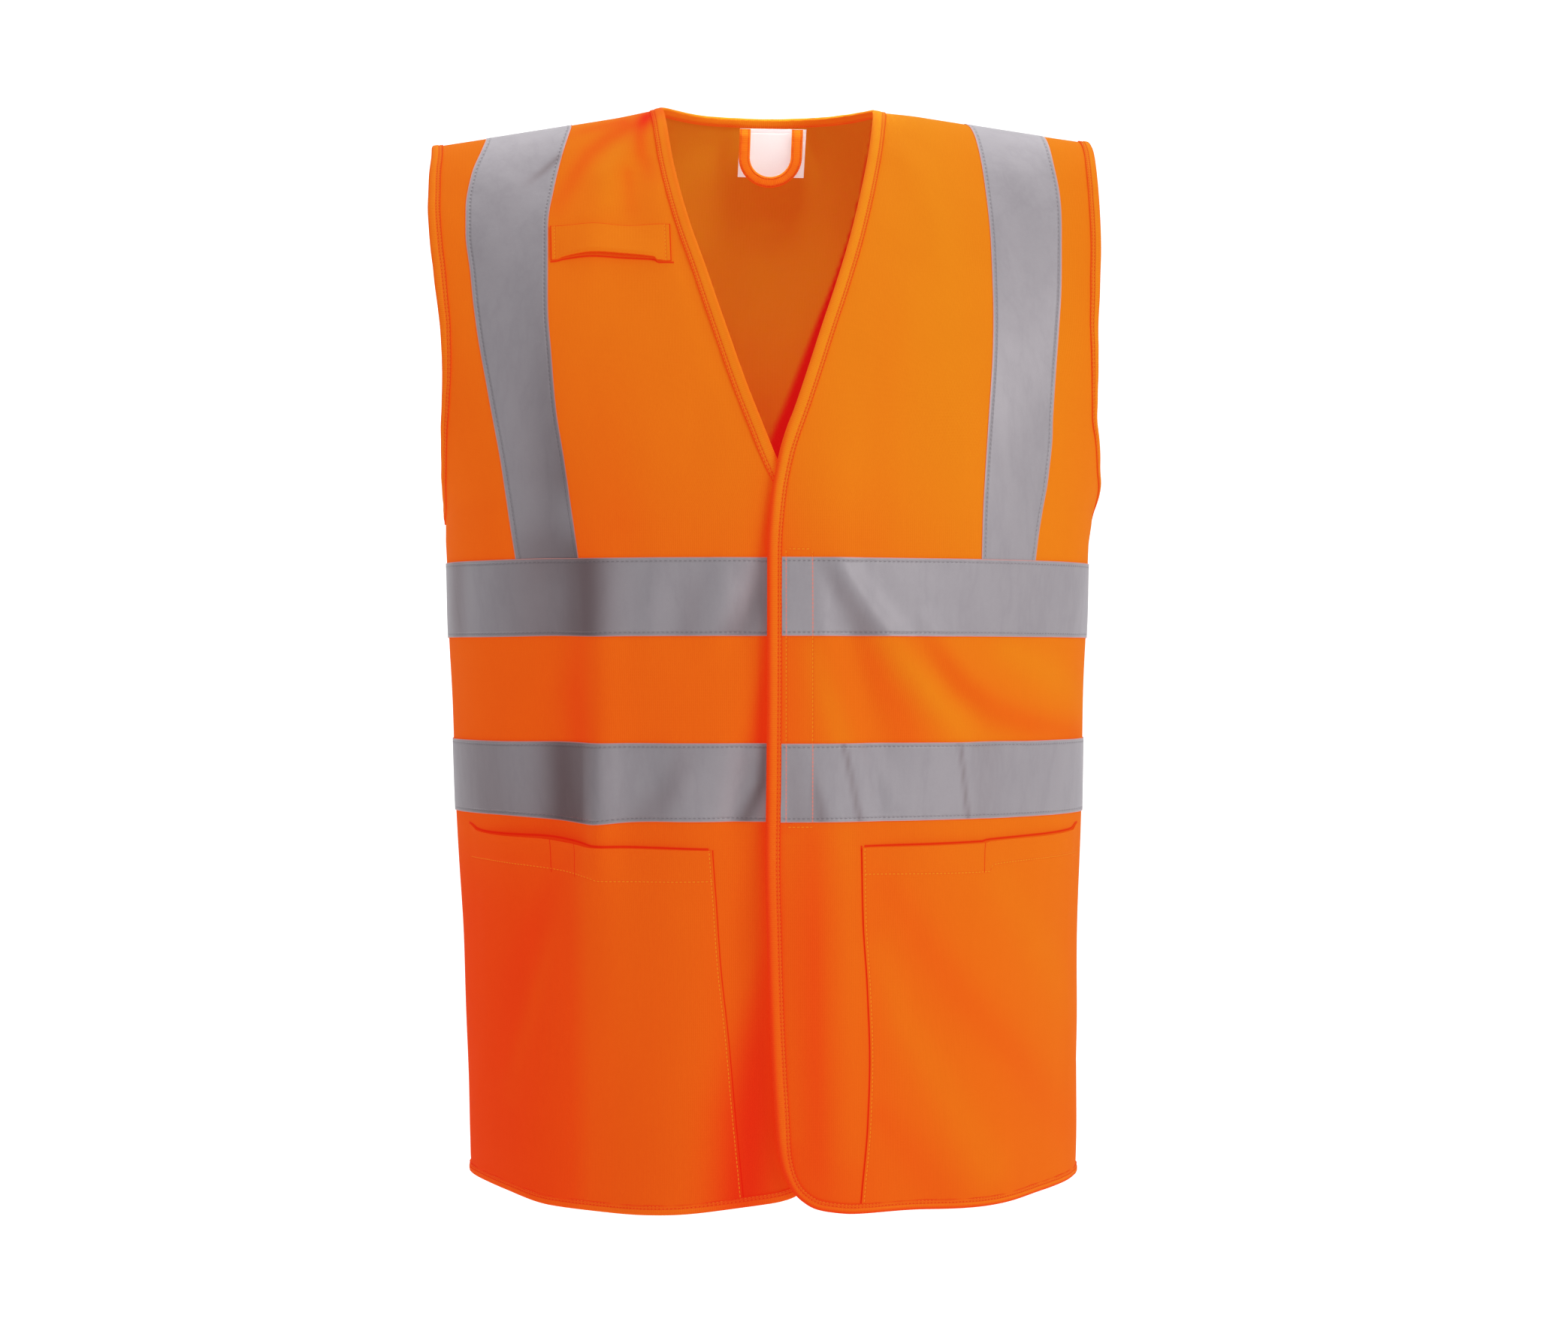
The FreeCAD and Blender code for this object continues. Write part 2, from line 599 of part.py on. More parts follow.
def brace_tape(side):
    """Tape from the upper waist tape over the shoulder to the back."""
    inner_x, outer_x = BRACE_INNER[side], BRACE_OUTER[side]
    back_zs = [416, 500, 620, 728]
    edges = {False: (inner_x, outer_x),
             True: (curve(back_zs, [118, 122, 130, inner_x(720)]),
                    curve(back_zs, [168, 172, 181, outer_x(712)]))}
    inner, outer = [], []
    for back, drop in ([(False, drop) for drop in reversed(BRACE_DROPS)]
                       + [(True, drop) for drop in BRACE_DROPS[1:]]):
        near_edge, far_edge = edges[back]
        stretch = max(drop - BRACE_NEAR, 0) / (BRACE_DROPS[-1] - BRACE_NEAR)
        inner_row, outer_row = [], []
        for i in range(7):
            z = 700.0
            # x and level depend on each other
            for _ in range(12):
                x = near_edge(z) + (far_edge(z) - near_edge(z)) * i / 6.0
                ridge = shoulder_front(x)
                z = (ridge - min(drop, BRACE_NEAR)
                     - stretch * (ridge - BRACE_NEAR - BRACE_END_Z))
            x *= side
            point = point_at(x, z, back)
            out = normal(girth_at(x, z, back), min(z, ridge - 0.3))
            # turn smoothly over the shoulder line
            mirror = 0.5 * (1 - ease(drop / 9.0))
            out = unit(out * (1 - mirror) + Vector(out.x, -out.y, out.z) * mirror)
            inner_row.append(point + out * ON_PANEL)
            outer_row.append(point + out * (ON_PANEL + TAPE_T))
        inner.append(inner_row)
        outer.append(outer_row)
    return layer(inner, outer)


def front_station(x, z, inside_x, inside_z, lift=no_lift):
    """Binding station on the front."""
    edge, inside = girth_at(x, z), girth_at(inside_x, inside_z)
    edge_out, inside_out = normal(edge, z), normal(inside, inside_z)
    return (point_at(x, z) + edge_out * lift(edge, z),
            point_at(inside_x, inside_z) + inside_out * lift(inside, inside_z),
            edge_out, inside_out)


def front_binding(side):
    """Down the front edge, round the corner, along the hem to the fold line."""
    top = FRONT_TOP[side]
    corner_x, corner_z = CORNER[side]
    end_x = side * (FOLD(0) - 0.6)
    zs = [top + (corner_z - top) * i / 200.0 for i in range(201)]
    xs = [corner_x + (end_x - corner_x) * (i / 300.0) ** 1.5 for i in range(1, 301)]
    path = even_path([(EDGE[side](z), z) for z in zs] + [(x, HEM[side](x)) for x in xs],
                     BIND_STEP)
    last = len(path) - 1
    stations = []
    for k, (x, z) in enumerate(path):
        x0, z0 = path[max(k - 1, 0)]
        x1, z1 = path[min(k + 1, last)]
        # the binding narrows towards the hem
        width = BIND_W - (BIND_W - HEM_BIND_W) * ease((k / last - 0.73) / 0.12)
        reach = side * width / math.hypot(x1 - x0, z1 - z0)
        stations.append(front_station(
            x, z, x - (z1 - z0) * reach, z + (x1 - x0) * reach, LIFT[side]))
    return channel(stations)


def neck_binding(side):
    """Neckline of the fixed part, from the neck point down."""
    low, high = FRONT_TOP[side] + NECK_BIND_GAP, NECK_Z - NECK_BIND_GAP
    stations = []
    for i in range(24, -1, -1):
        z = low + (high - low) * (1 - (1 - i / 24.0) ** 1.5)
        x = EDGE[side](z)
        inside_x = x + side * BIND_W
        inside_z = min(z, shoulder_front(inside_x) - 0.6) - 0.3
        stations.append(front_station(x, z, inside_x, inside_z))
    return channel(stations)


def surface_step(step, along, up):
    """The step in space as amounts of the two surface directions."""
    aa, au, uu = along.dot(along), along.dot(up), up.dot(up)
    step_a, step_u = along.dot(step), up.dot(step)
    scale = aa * uu - au * au
    return (uu * step_a - au * step_u) / scale, (aa * step_u - au * step_a) / scale


def armhole_binding(side):
    """From the front of the shoulder, under the arm, to the back of the shoulder."""
    tip = shoulder_front(HALF_WIDTH(SHOULDER_TIP_Z)) - 1.2
    rise = spread(ARMHOLE_Z, tip, lambda z: min(
        9.0, 0.35 + 0.25 * (z - ARMHOLE_Z), 1.2 + 0.22 * (tip - z)))[1:]
    # turn: -1 on the front, 0 at the bottom, 1 on the back
    order = [(z, -1) for z in reversed(rise)] + [(ARMHOLE_Z, 0)] + [(z, 1) for z in rise]
    edges = [place(side * (SEAM_GIRTH + 0.02 * turn), z) for z, turn in order]
    stations = []
    for k, (z, turn) in enumerate(order):
        girth, edge = side * (SEAM_GIRTH + 0.02 * turn), edges[k]
        if turn == 0:
            stations.append((edge, place(girth, z - ARM_BIND_W), normal(girth, z - 3),
                             normal(girth, z - ARM_BIND_W)))
            continue
        out = normal(girth, z)
        tangent = unit(edges[min(k + 1, len(edges) - 1)] - edges[max(k - 1, 0)])
        inward = unit(out.cross(tangent))
        if inward.dot(place(side * (SEAM_GIRTH + 40 * turn), z - 10) - edge) < 0:
            inward = inward * -1.0
        # walk over the surface in short steps
        away = side * turn
        for _ in range(8):
            point = place(girth, z)
            along = (place(girth + away * 0.8, z) - point) * (away / 0.8)
            up = (point - place(girth, z - 0.8)) * (1 / 0.8)
            girth_step, z_step = surface_step(inward * (ARM_BIND_W / 8.0), along, up)
            girth += girth_step
            z += z_step
        stations.append((edge, place(girth, z), out, normal(girth, z)))
    # even out the normals
    smooth = [stations[0]]
    for before, here, after in zip(stations, stations[1:], stations[2:]):
        outs = [unit(before[i] + here[i] * 2 + after[i]) for i in (2, 3)]
        smooth.append((here[0], here[1], *outs))
    smooth.append(stations[-1])
    return channel(smooth, slack=0.15, beyond=0.6)


# overlocked seam allowances, turned to the back inside
def side_seam(side):
    where = band(lambda z: side * (SEAM_GIRTH + 1.5), lambda z: side * (SEAM_GIRTH + 9.0),
                 18.0, 436.0)
    return sheet(where, 3, 24, -AIR - SEAM_T, SEAM_T)


def shoulder_seam(side):
    def where(across, up):
        x = 84.0 + (212.0 - 84.0) * up
        z = shoulder_back(x) - 1.6 - 4.5 * across
        return girth_at(side * x, z, back=True), z
    return sheet(where, 3, 12, -AIR - SEAM_T, SEAM_T)


# ---------------------------------------------------------------- closure and chest strap
def loop_strip():
    """On the outside of the right front."""
    where = x_band(LOOP_STRIP_X0, LOOP_STRIP_X1,
                   STRIP_Z0 + LOOP_STRIP_INSET, STRIP_Z1 - LOOP_STRIP_INSET)
    return sheet(where, 3, 16, 2 * ON_PANEL - 0.05, LOOP_STRIP_T)


def hook_strip():
    """On the inside of the left front."""
    where = x_band(HOOK_X0, HOOK_X1, STRIP_Z0, STRIP_Z1)
    return sheet(where, 3, 16, -AIR - HOOK_T, HOOK_T, lift_left)


def chest_strap():
    """On the wearer's right, bowed outward between its flat ends."""
    def stand(girth, z):
        x = x_at(girth, z)[0]
        share = (x - STRAP_X0 - STRAP_FLAT) / (STRAP_X1 - STRAP_X0 - 2 * STRAP_FLAT)
        wave = math.sin(math.pi * min(max(share, 0.0), 1.0))
        return ON_PANEL + STRAP_BOW * max(wave, 0.0) ** 1.5
    where = x_band(STRAP_X0, STRAP_X1, STRAP_Z0, STRAP_Z1)
    return sheet(where, 16, 4, stand, FABRIC)


# ---------------------------------------------------------------- back, hem and waist
def back_panel():
    start = SEAM_GIRTH + SEAM_GAP
    where = patch(lambda z: start, lambda z: 2 * HALF_GIRTH - start, BACK_HEM, back_top,
                  rows=PANEL_ROWS)
    return sheet(where, 56, len(PANEL_ROWS) - 1, 0.0, FABRIC)


def back_neck_binding():
    xs = [BACK_NECK_X * math.cos(math.pi * i / 40.0) for i in range(41)]
    edges = [point_at(x, back_top(x), back=True) for x in xs]
    stations = []
    # the path's outermost three points at each end only shape nothing and get no station
    for i in range(3, 38):
        edge = edges[i]
        x, z = edge.x, edge.z
        out = normal(girth_at(x, z, back=True), z)
        inward = unit(out.cross(unit(edges[i + 1] - edges[i - 1])))
        if inward.z > 0:
            inward = inward * -1.0
        # walk over the surface in short steps
        for _ in range(5):
            along = (point_at(x + 0.3, z, True) - point_at(x - 0.3, z, True)) * (1 / 0.6)
            up = (point_at(x, z, True) - point_at(x, z - 0.5, True)) * 2.0
            x_step, z_step = surface_step(inward * (BACK_NECK_BIND_W / 5.0), along, up)
            x += x_step
            z += z_step
        stations.append((edge, point_at(x, z, True), out, normal(girth_at(x, z, True), z)))
    return channel(stations, slack=0.2)


def hem_binding():
    """Round the sides and back, from fold line to fold line."""
    start = fold_girth(LEFT, 0.0, SPLIT_GAP)
    stations = []
    for i in range(73):
        girth = start + 2 * (HALF_GIRTH - start) * i / 72
        z = 0.0
        for _ in range(4):
            x, back = x_at(girth, z)
            hem = BACK_HEM if back else HEM[LEFT if x > 0 else RIGHT]
            z = hem(x)
        top = z + HEM_BIND_W
        stations.append((place(girth, z), place(girth, top), normal(girth, z),
                         normal(girth, top)))
    return channel(stations)


def waist_tape(z0):
    """Round the sides and back, from fold line to fold line."""
    where = band(lambda z: fold_girth(LEFT, z, SPLIT_GAP),
                 lambda z: 2 * HALF_GIRTH - fold_girth(LEFT, z, SPLIT_GAP), z0, z0 + TAPE_W)
    return sheet(where, 72, 4, ON_PANEL, TAPE_T)


# ---------------------------------------------------------------- hanging loop and label
def hung(shape, tilt, y, z):
    """Stand a flat shape drawn in XY (hanging towards -Y) upright, leaning back by tilt."""
    shape.rotate(Vector(0, 0, 0), Vector(1, 0, 0), 90.0 + tilt)
    shape.translate(Vector(0, y, z))
    return shape


def hang_loop():
    outer_r = LOOP_R + LOOP_TAPE_W

    def line(x0, y0, x1, y1):
        return Part.makeLine(Vector(x0, y0, 0), Vector(x1, y1, 0))

    def round_end(radius, x0):
        return Part.Arc(Vector(x0, -LOOP_DROP, 0), Vector(0, -LOOP_DROP - radius, 0),
                        Vector(-x0, -LOOP_DROP, 0)).toShape()
    profile = Part.Wire([
        line(-outer_r, 0, -LOOP_R, 0),
        line(-LOOP_R, 0, -LOOP_R, -LOOP_DROP),
        round_end(LOOP_R, -LOOP_R),
        line(LOOP_R, -LOOP_DROP, LOOP_R, 0),
        line(LOOP_R, 0, outer_r, 0),
        line(outer_r, 0, outer_r, -LOOP_DROP),
        round_end(outer_r, outer_r),
        line(-outer_r, -LOOP_DROP, -outer_r, 0),
    ])
    loop = Part.Face(profile).extrude(Vector(0, 0, LOOP_T))
    return hung(loop, LOOP_TILT, PIVOT_Y, PIVOT_Z)


def neck_label():
    label = Part.makeBox(LABEL_W, LABEL_H, LABEL_T, Vector(-LABEL_W / 2, -LABEL_H, -LABEL_T))
    return hung(label, LABEL_TILT, PIVOT_Y + LABEL_BACK, PIVOT_Z - LABEL_DOWN)


# ---------------------------------------------------------------- write the parts
SIDE_PIECES = (front_panel, front_side_panel, front_pocket, pocket_side, brace_tape,
               front_binding, neck_binding, armhole_binding, side_seam, shoulder_seam)
SINGLE_PIECES = (loop_strip, hook_strip, chest_strap, back_panel, back_neck_binding,
                 hem_binding, hang_loop, neck_label)

parts = {}
for side, side_name in ((LEFT, "left"), (RIGHT, "right")):
    for build in SIDE_PIECES:
        parts["%s_%s" % (side_name, build.__name__)] = build(side)
    for level, z0 in TAPE_Z.items():
        parts["%s_front_%s_tape" % (side_name, level)] = front_tape(side, z0)
for build in SINGLE_PIECES:
    parts[build.__name__] = build()
for level, z0 in TAPE_Z.items():
    parts[level + "_waist_tape"] = waist_tape(z0)

os.makedirs("parts", exist_ok=True)
for name, shape in parts.items():
    shape.exportStep("parts/%s.step" % name)
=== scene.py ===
# High-visibility vest, standing as if worn: its front faces -Y, the wearer's left is +X, Z is up
# and the hem lies near z = 0. Lengths are millimetres on the body surface the frame uses. "arc"
# runs round the body from the front centre, positive to the wearer's left, past the side seam
# and on over the back. Meshes are written in metres.
import bpy
import math
import numpy as np
from mathutils import Matrix, Vector


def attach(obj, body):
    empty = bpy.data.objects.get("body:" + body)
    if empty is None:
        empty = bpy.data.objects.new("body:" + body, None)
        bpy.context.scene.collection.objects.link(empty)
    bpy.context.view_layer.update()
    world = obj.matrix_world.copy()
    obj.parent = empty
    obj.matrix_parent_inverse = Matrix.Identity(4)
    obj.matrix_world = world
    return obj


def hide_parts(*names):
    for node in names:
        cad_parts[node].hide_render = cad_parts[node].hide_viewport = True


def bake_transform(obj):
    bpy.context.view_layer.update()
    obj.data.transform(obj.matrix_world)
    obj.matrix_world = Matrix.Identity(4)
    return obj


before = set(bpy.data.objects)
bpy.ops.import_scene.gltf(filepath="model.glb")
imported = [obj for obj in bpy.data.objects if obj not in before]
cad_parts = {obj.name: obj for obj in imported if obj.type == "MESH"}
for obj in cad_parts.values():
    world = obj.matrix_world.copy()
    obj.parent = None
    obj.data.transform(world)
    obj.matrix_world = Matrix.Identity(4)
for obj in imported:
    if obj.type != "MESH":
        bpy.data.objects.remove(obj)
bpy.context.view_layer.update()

LEFT, RIGHT = 1, -1                  # sides of the wearer; side 0 is the back
TAGS = {LEFT: "left", RIGHT: "right"}

SIDE_ARC, BACK_ARC = 290.0, 275.0    # front centre to side seam, side seam to back centre
HALF_GIRTH = SIDE_ARC + BACK_ARC
GIRTH = 2 * HALF_GIRTH
FAR_SIDE = GIRTH - SIDE_ARC          # right side seam, counted round over the back
ARM_Z = 449.0                        # foot of the armholes
NECK_X, NECK_Z, FALL = 73.0, 728.0, 0.160    # neck point, slope of the shoulders
TOP_Z = 716.0                        # upper end of the panels' row spacing
TAPE_W, TAPE_Z = 50.0, {"upper": 366.0, "lower": 248.0}
FRONT_BIND_W, ARM_BIND_W, HEM_BIND_W, NECK_BIND_W = 8.3, 6.5, 5.8, 6.7
CLOTH_T = 0.6
SEAM_GAP = 1e-6                      # keeps back pieces just behind the side seams
NO_LINE = 99.0                       # distance meaning that no line is near

# the camera, in metres; the painted shadow inside the neck opening uses it too
VIEW_TURN = math.radians(-5.4)
VIEW_DISTANCE, VIEW_OFFSET, VIEW_HEIGHT = 2.2, 0.0106, 0.3492


# ---------------------------------------------------------------- curves and small helpers
def curve(xs, ys):
    """Monotone cubic through the points (xs, ys), held constant beyond its ends."""
    xs, ys = np.array(xs, float), np.array(ys, float)
    gaps = np.diff(xs)
    rises = np.diff(ys) / gaps
    slopes = np.zeros(len(xs))
    for i in range(1, len(xs) - 1):
        if rises[i - 1] * rises[i] > 0:
            w1, w2 = 2 * gaps[i] + gaps[i - 1], gaps[i] + 2 * gaps[i - 1]
            slopes[i] = (w1 + w2) / (w1 / rises[i - 1] + w2 / rises[i])
    slopes[0], slopes[-1] = rises[0], rises[-1]

    def value(x):
        x = np.clip(x, xs[0], xs[-1])
        i = np.clip(np.searchsorted(xs, x, side="right") - 1, 0, len(xs) - 2)
        t = (x - xs[i]) / gaps[i]
        return ((2 * t**3 - 3 * t**2 + 1) * ys[i] + (t**3 - 2 * t**2 + t) * gaps[i] * slopes[i]
                + (-2 * t**3 + 3 * t**2) * ys[i + 1] + (t**3 - t**2) * gaps[i] * slopes[i + 1])
    return value


def ease(t):
    t = np.clip(t, 0.0, 1.0)
    return t * t * (3 - 2 * t)


def bell(distance, width):
    return np.exp(-(distance / width) ** 2)


def unit(v):
    return v / np.maximum(np.linalg.norm(v, axis=-1, keepdims=True), 1e-12)


def lengths_along(points):
    steps = np.linalg.norm(np.diff(points, axis=0), axis=1)
    return np.concatenate([[0], np.cumsum(steps)])


def grid(rows, cols):
    """Row and column fractions of a patch, each from a count or a list of fractions."""
    rows, cols = (np.linspace(0, 1, n) if isinstance(n, int) else n for n in (rows, cols))
    return np.meshgrid(rows, cols, indexing="ij")


def spread(z0, z1, step):
    """Heights from z0 to z1, spaced about step(z)."""
    zs = np.linspace(z0, z1, 801)
    mid = (zs[1:] + zs[:-1]) / 2
    run = np.concatenate([[0], np.cumsum(np.diff(zs) / step(mid))])
    return np.interp(np.linspace(0, run[-1], int(math.ceil(run[-1])) + 1), run, zs)


# ---------------------------------------------------------------- the body surface
# z -> half width of the body
HALF_WIDTH = curve(
    [0, 60, 110, 160, 210, 260, 310, 360, 400, 449, 470, 496, 522, 547, 573, 600, 625, 650, 676,
     704],
    [207, 208, 209.5, 210.5, 212.5, 214.5, 215.5, 216.8, 217.6, 219.5, 220.5, 220, 218.2, 216.6,
     216.2, 217, 218.8, 220, 221.2, 222.5])
# drop below the shoulder line -> depth at the centre
FRONT_DEPTH = curve(
    [0, 3, 8, 16, 30, 50, 85, 125, 165, 205, 240, 270, 320, 400, 500, 620, 738],
    [0, 9, 19, 30, 45, 63, 90, 115, 136, 151, 160, 165, 168, 169, 167, 164, 161])
BACK_DEPTH = curve(
    [0, 3, 8, 16, 30, 50, 85, 125, 165, 205, 260, 340, 450, 600, 738],
    [0, 12, 28, 46, 66, 84, 108, 124, 134, 139, 141, 138, 134, 134, 137])
# z -> exponent that rounds the section
FRONT_ROUND = curve([-20, 150, 300, 400, 449, 760], [0.62, 0.62, 0.53, 0.42, 0.37, 0.37])
BACK_ROUND = curve([-20, 150, 300, 400, 449, 760], [0.46, 0.46, 0.42, 0.38, 0.35, 0.35])
# square root of the height above the armhole foot -> share of the depth at the armhole edge
ROOTS = [0, 3, 4.583, 6, 7.141, 8.426, 9.539, 10.536, 11.446, 12.288, 13.077, 13.820, 14.526,
         15.199, 15.969]
FRONT_ARMHOLE = curve(ROOTS, [0, .204, .316, .408, .4795, .5596, .626, .6848, .7355, .783,
                              .8268, .8757, .9196, .962, .9863])
BACK_ARMHOLE = curve(ROOTS, [0, .292, .397, .4748, .534, .606, .665, .7136, .7588, .80,
                             .841, .8825, .9255, .964, .9864])


def shoulder_front(x):
    return NECK_Z - (np.abs(x) - NECK_X) * FALL


def shoulder_back(x):
    x = np.abs(x)
    nape = NECK_Z + 30.8 * np.maximum(1 - (x / NECK_X) ** 2, 0) ** 1.35
    return np.where(x >= NECK_X, NECK_Z - (x - NECK_X) * FALL, nape)


def neck_back(x):
    return NECK_Z + 3.8 * (1 - (x / NECK_X) ** 2)


def ridge_at(x, back):
    return np.where(back, shoulder_back(x), shoulder_front(x))


def section(x, z, armhole, power):
    """Share of the centre depth at x: 1 at the centre, 0 or the armhole share at the side."""
    above = armhole(np.sqrt(np.maximum(z - ARM_Z, 0)))
    k = np.where(z <= ARM_Z, 1.0, 1 - above ** (1 / power))
    return np.maximum(1 - k * (x / HALF_WIDTH(z)) ** 2, 0.0) ** power


def front_y(x, z):
    depth = FRONT_DEPTH(np.maximum(shoulder_front(x) - z, 0.0))
    return -depth * section(x, z, FRONT_ARMHOLE, FRONT_ROUND(z))


def back_y(x, z):
    depth = BACK_DEPTH(np.maximum(shoulder_back(x) - z, 0.0))
    return depth * section(x, z, BACK_ARMHOLE, BACK_ROUND(z))


# table of x over half width, at even steps of arc (columns) and height (rows)
TABLE_COLS, TABLE_ROWS, TABLE_Z, TABLE_STEP = 160, 156, -15.0, 5.0


def even_row(z, y_of):
    half = HALF_WIDTH(z)
    xs = half * np.sin(np.pi / 2 * np.arange(241) / 240)
    run = lengths_along(np.stack([xs, y_of(xs, np.full(241, z))], 1))
    return np.interp(run[-1] * np.arange(TABLE_COLS + 1) / TABLE_COLS, run, xs) / half


EVEN = np.array([[even_row(TABLE_Z + TABLE_STEP * i, y_of) for i in range(TABLE_ROWS)]
                 for y_of in (front_y, back_y)])


def locate(arc, z):
    """x at an arc and height, and whether the point is on the back."""
    arc = np.asarray(arc, float)
    arc = np.where(arc > HALF_GIRTH, arc - GIRTH, np.where(arc < -HALF_GIRTH, arc + GIRTH, arc))
    sign = np.where(arc >= 0, 1.0, -1.0)
    arc = np.abs(arc)
    back = arc > SIDE_ARC
    share = np.where(back, (HALF_GIRTH - arc) / BACK_ARC, arc / SIDE_ARC)
    col = np.clip(share, 0, 1) * TABLE_COLS
    k = np.minimum(col.astype(int), TABLE_COLS - 1)
    row = np.clip((z - TABLE_Z) / TABLE_STEP, 0, TABLE_ROWS - 1.001)
    i = row.astype(int)
    face = back.astype(int)
    low, high = (EVEN[face, j, k] + (EVEN[face, j, k + 1] - EVEN[face, j, k]) * (col - k)
                 for j in (i, i + 1))
    return sign * HALF_WIDTH(z) * (low + (high - low) * (row - i)), back


def place(arc, z):
    x, back = locate(arc, z)
    y = np.where(back, back_y(x, z), front_y(x, z))
    return np.stack([x, y, z + 0 * x], -1)


def arc_of(x, z, back=False):
    """The arc at which the surface has this x, by bisection."""
    x, z = np.broadcast_arrays(np.asarray(x, float), np.asarray(z, float))
    half = HALF_WIDTH(z)
    target = np.minimum(np.abs(x) / half, 1.0) * half
    low = np.full(x.shape, SIDE_ARC + 1e-9 if back else 0.0)
    high = np.full(x.shape, HALF_GIRTH if back else SIDE_ARC)
    for _ in range(34):
        mid = (low + high) / 2
        here = np.abs(locate(mid, z)[0])
        up = (here > target) if back else (here < target)
        low, high = np.where(up, mid, low), np.where(up, high, mid)
    return np.copysign((low + high) / 2, x)


def normal(arc, z):
    """Outward direction; at the armholes and the ridge it is taken from one side only."""
    arc, z = np.broadcast_arrays(np.asarray(arc, float), np.asarray(z, float))
    arc0, arc1 = arc - 1.0, arc + 1.0
    for edge in (SIDE_ARC, -SIDE_ARC, FAR_SIDE):
        near = (z > ARM_Z - 0.5) & (np.abs(arc - edge) < 1.0)
        low = near & (arc <= edge)
        high = near & (arc > edge)
        arc0 = np.where(low, edge - 2.0, np.where(high, edge + 0.02, arc0))
        arc1 = np.where(low, edge - 0.02, np.where(high, edge + 2.0, arc1))
    ridge = ridge_at(*locate(arc, z))
    z1 = np.minimum(z + 0.7, ridge - 0.02)
    level = np.minimum(z, ridge - 0.02)
    out = unit(np.cross(place(arc1, level) - place(arc0, level),
                        place(arc, z1) - place(arc, z1 - 1.4)))
    crest = (0.5 * (1 - ease((ridge - z) / 9.0)))[..., None]
    return unit(out * (1 - crest) + out * np.array([1.0, -1.0, 1.0]) * crest)


# ---------------------------------------------------------------- drape
def fold(x, z, rows):
    """A ridge or valley along a line of (x, z, height, width)."""
    best = np.full(np.shape(x), 1e9)
    height, width = np.zeros(np.shape(x)), np.ones(np.shape(x))
    for (x0, z0, h0, w0), (x1, z1, h1, w1) in zip(rows, rows[1:]):
        dx, dz = x1 - x0, z1 - z0
        t = np.clip(((x - x0) * dx + (z - z0) * dz) / (dx * dx + dz * dz), 0, 1)
        distance = np.hypot(x - x0 - dx * t, z - z0 - dz * t)
        closer = distance < best
        best = np.where(closer, distance, best)
        height = np.where(closer, h0 + (h1 - h0) * t, height)
        width = np.where(closer, w0 + (w1 - w0) * t, width)
    return height * bell(best, width)


def folds(x, z, lines):
    return sum(fold(x, z, rows) for rows in lines)


# folds of the cloth: lines of (x, z, height, width)
FOLDS_RIGHT = [
    [(-119,440,0,14), (-119,405,2.5,13), (-119,366,4,12), (-119,310,4.5,12), (-119,285,6.5,11),
     (-119,245,8,10), (-120,224,6.5,11), (-123,190,3,16), (-126,110,0.6,24)],
    [(-168,560,-1.5,18), (-162,480,-5,19), (-154,410,-5.5,17), (-150,360,-5,18),
     (-150,300,-5.5,18), (-150,245,-7.5,18), (-152,200,-4,24), (-155,110,-1,30)],
    [(-22,440,-0.5,12), (-24,366,-2,13), (-24,300,-2.5,14), (-26,248,-3.2,15),
     (-30,180,-5.5,19), (-34,90,-7,22), (-36,-10,-7,24)],
    [(-66,240,0.5,20), (-72,120,2.5,26), (-78,0,3,30)],
    [(-80,712,1.2,7), (-110,672,2.6,11), (-121,642,2.4,13), (-127,600,1.2,17), (-127,550,0,20)],
    [(-82,704,-1,7), (-96,668,-1.8,11), (-101,610,-1.4,17), (-100,540,0,22)],
    [(-75,690,-0.9,5), (-68,620,-1.2,6), (-50,555,-1.2,7), (-30,500,-0.8,7), (-18,470,0,7)],
    [(-160,350,0.8,9), (-182,300,0.9,10), (-190,250,0.6,12)],
    [(-84,425,0,9), (-86,390,2.2,10), (-92,350,0.6,12), (-98,300,0,12)],
    [(-42,425,0,8), (-44,390,2,9), (-54,345,0.4,12), (-60,310,0,12)],
    [(-78,310,0.2,10), (-72,270,3.2,11), (-64,235,0.4,12), (-60,200,0,14)],
    [(-36,310,0,7), (-30,285,-2.4,8), (-38,250,-3,8), (-44,220,0,10)],
    [(-18,425,-0.4,7), (-24,395,-2.6,8), (-34,368,-1.6,8), (-40,340,0,10)],
    [(-150,700,-0.6,9), (-168,640,-1,10), (-172,560,-0.5,14), (-160,500,0,16)],
    [(-188,440,0.8,10), (-196,380,1,12), (-198,300,0.6,14)],
    [(-150,130,0,20), (-160,60,2.2,22), (-165,-5,2.6,22)],
    [(-112,110,0,18), (-118,50,-2,20), (-122,-5,-2.4,22)],
]
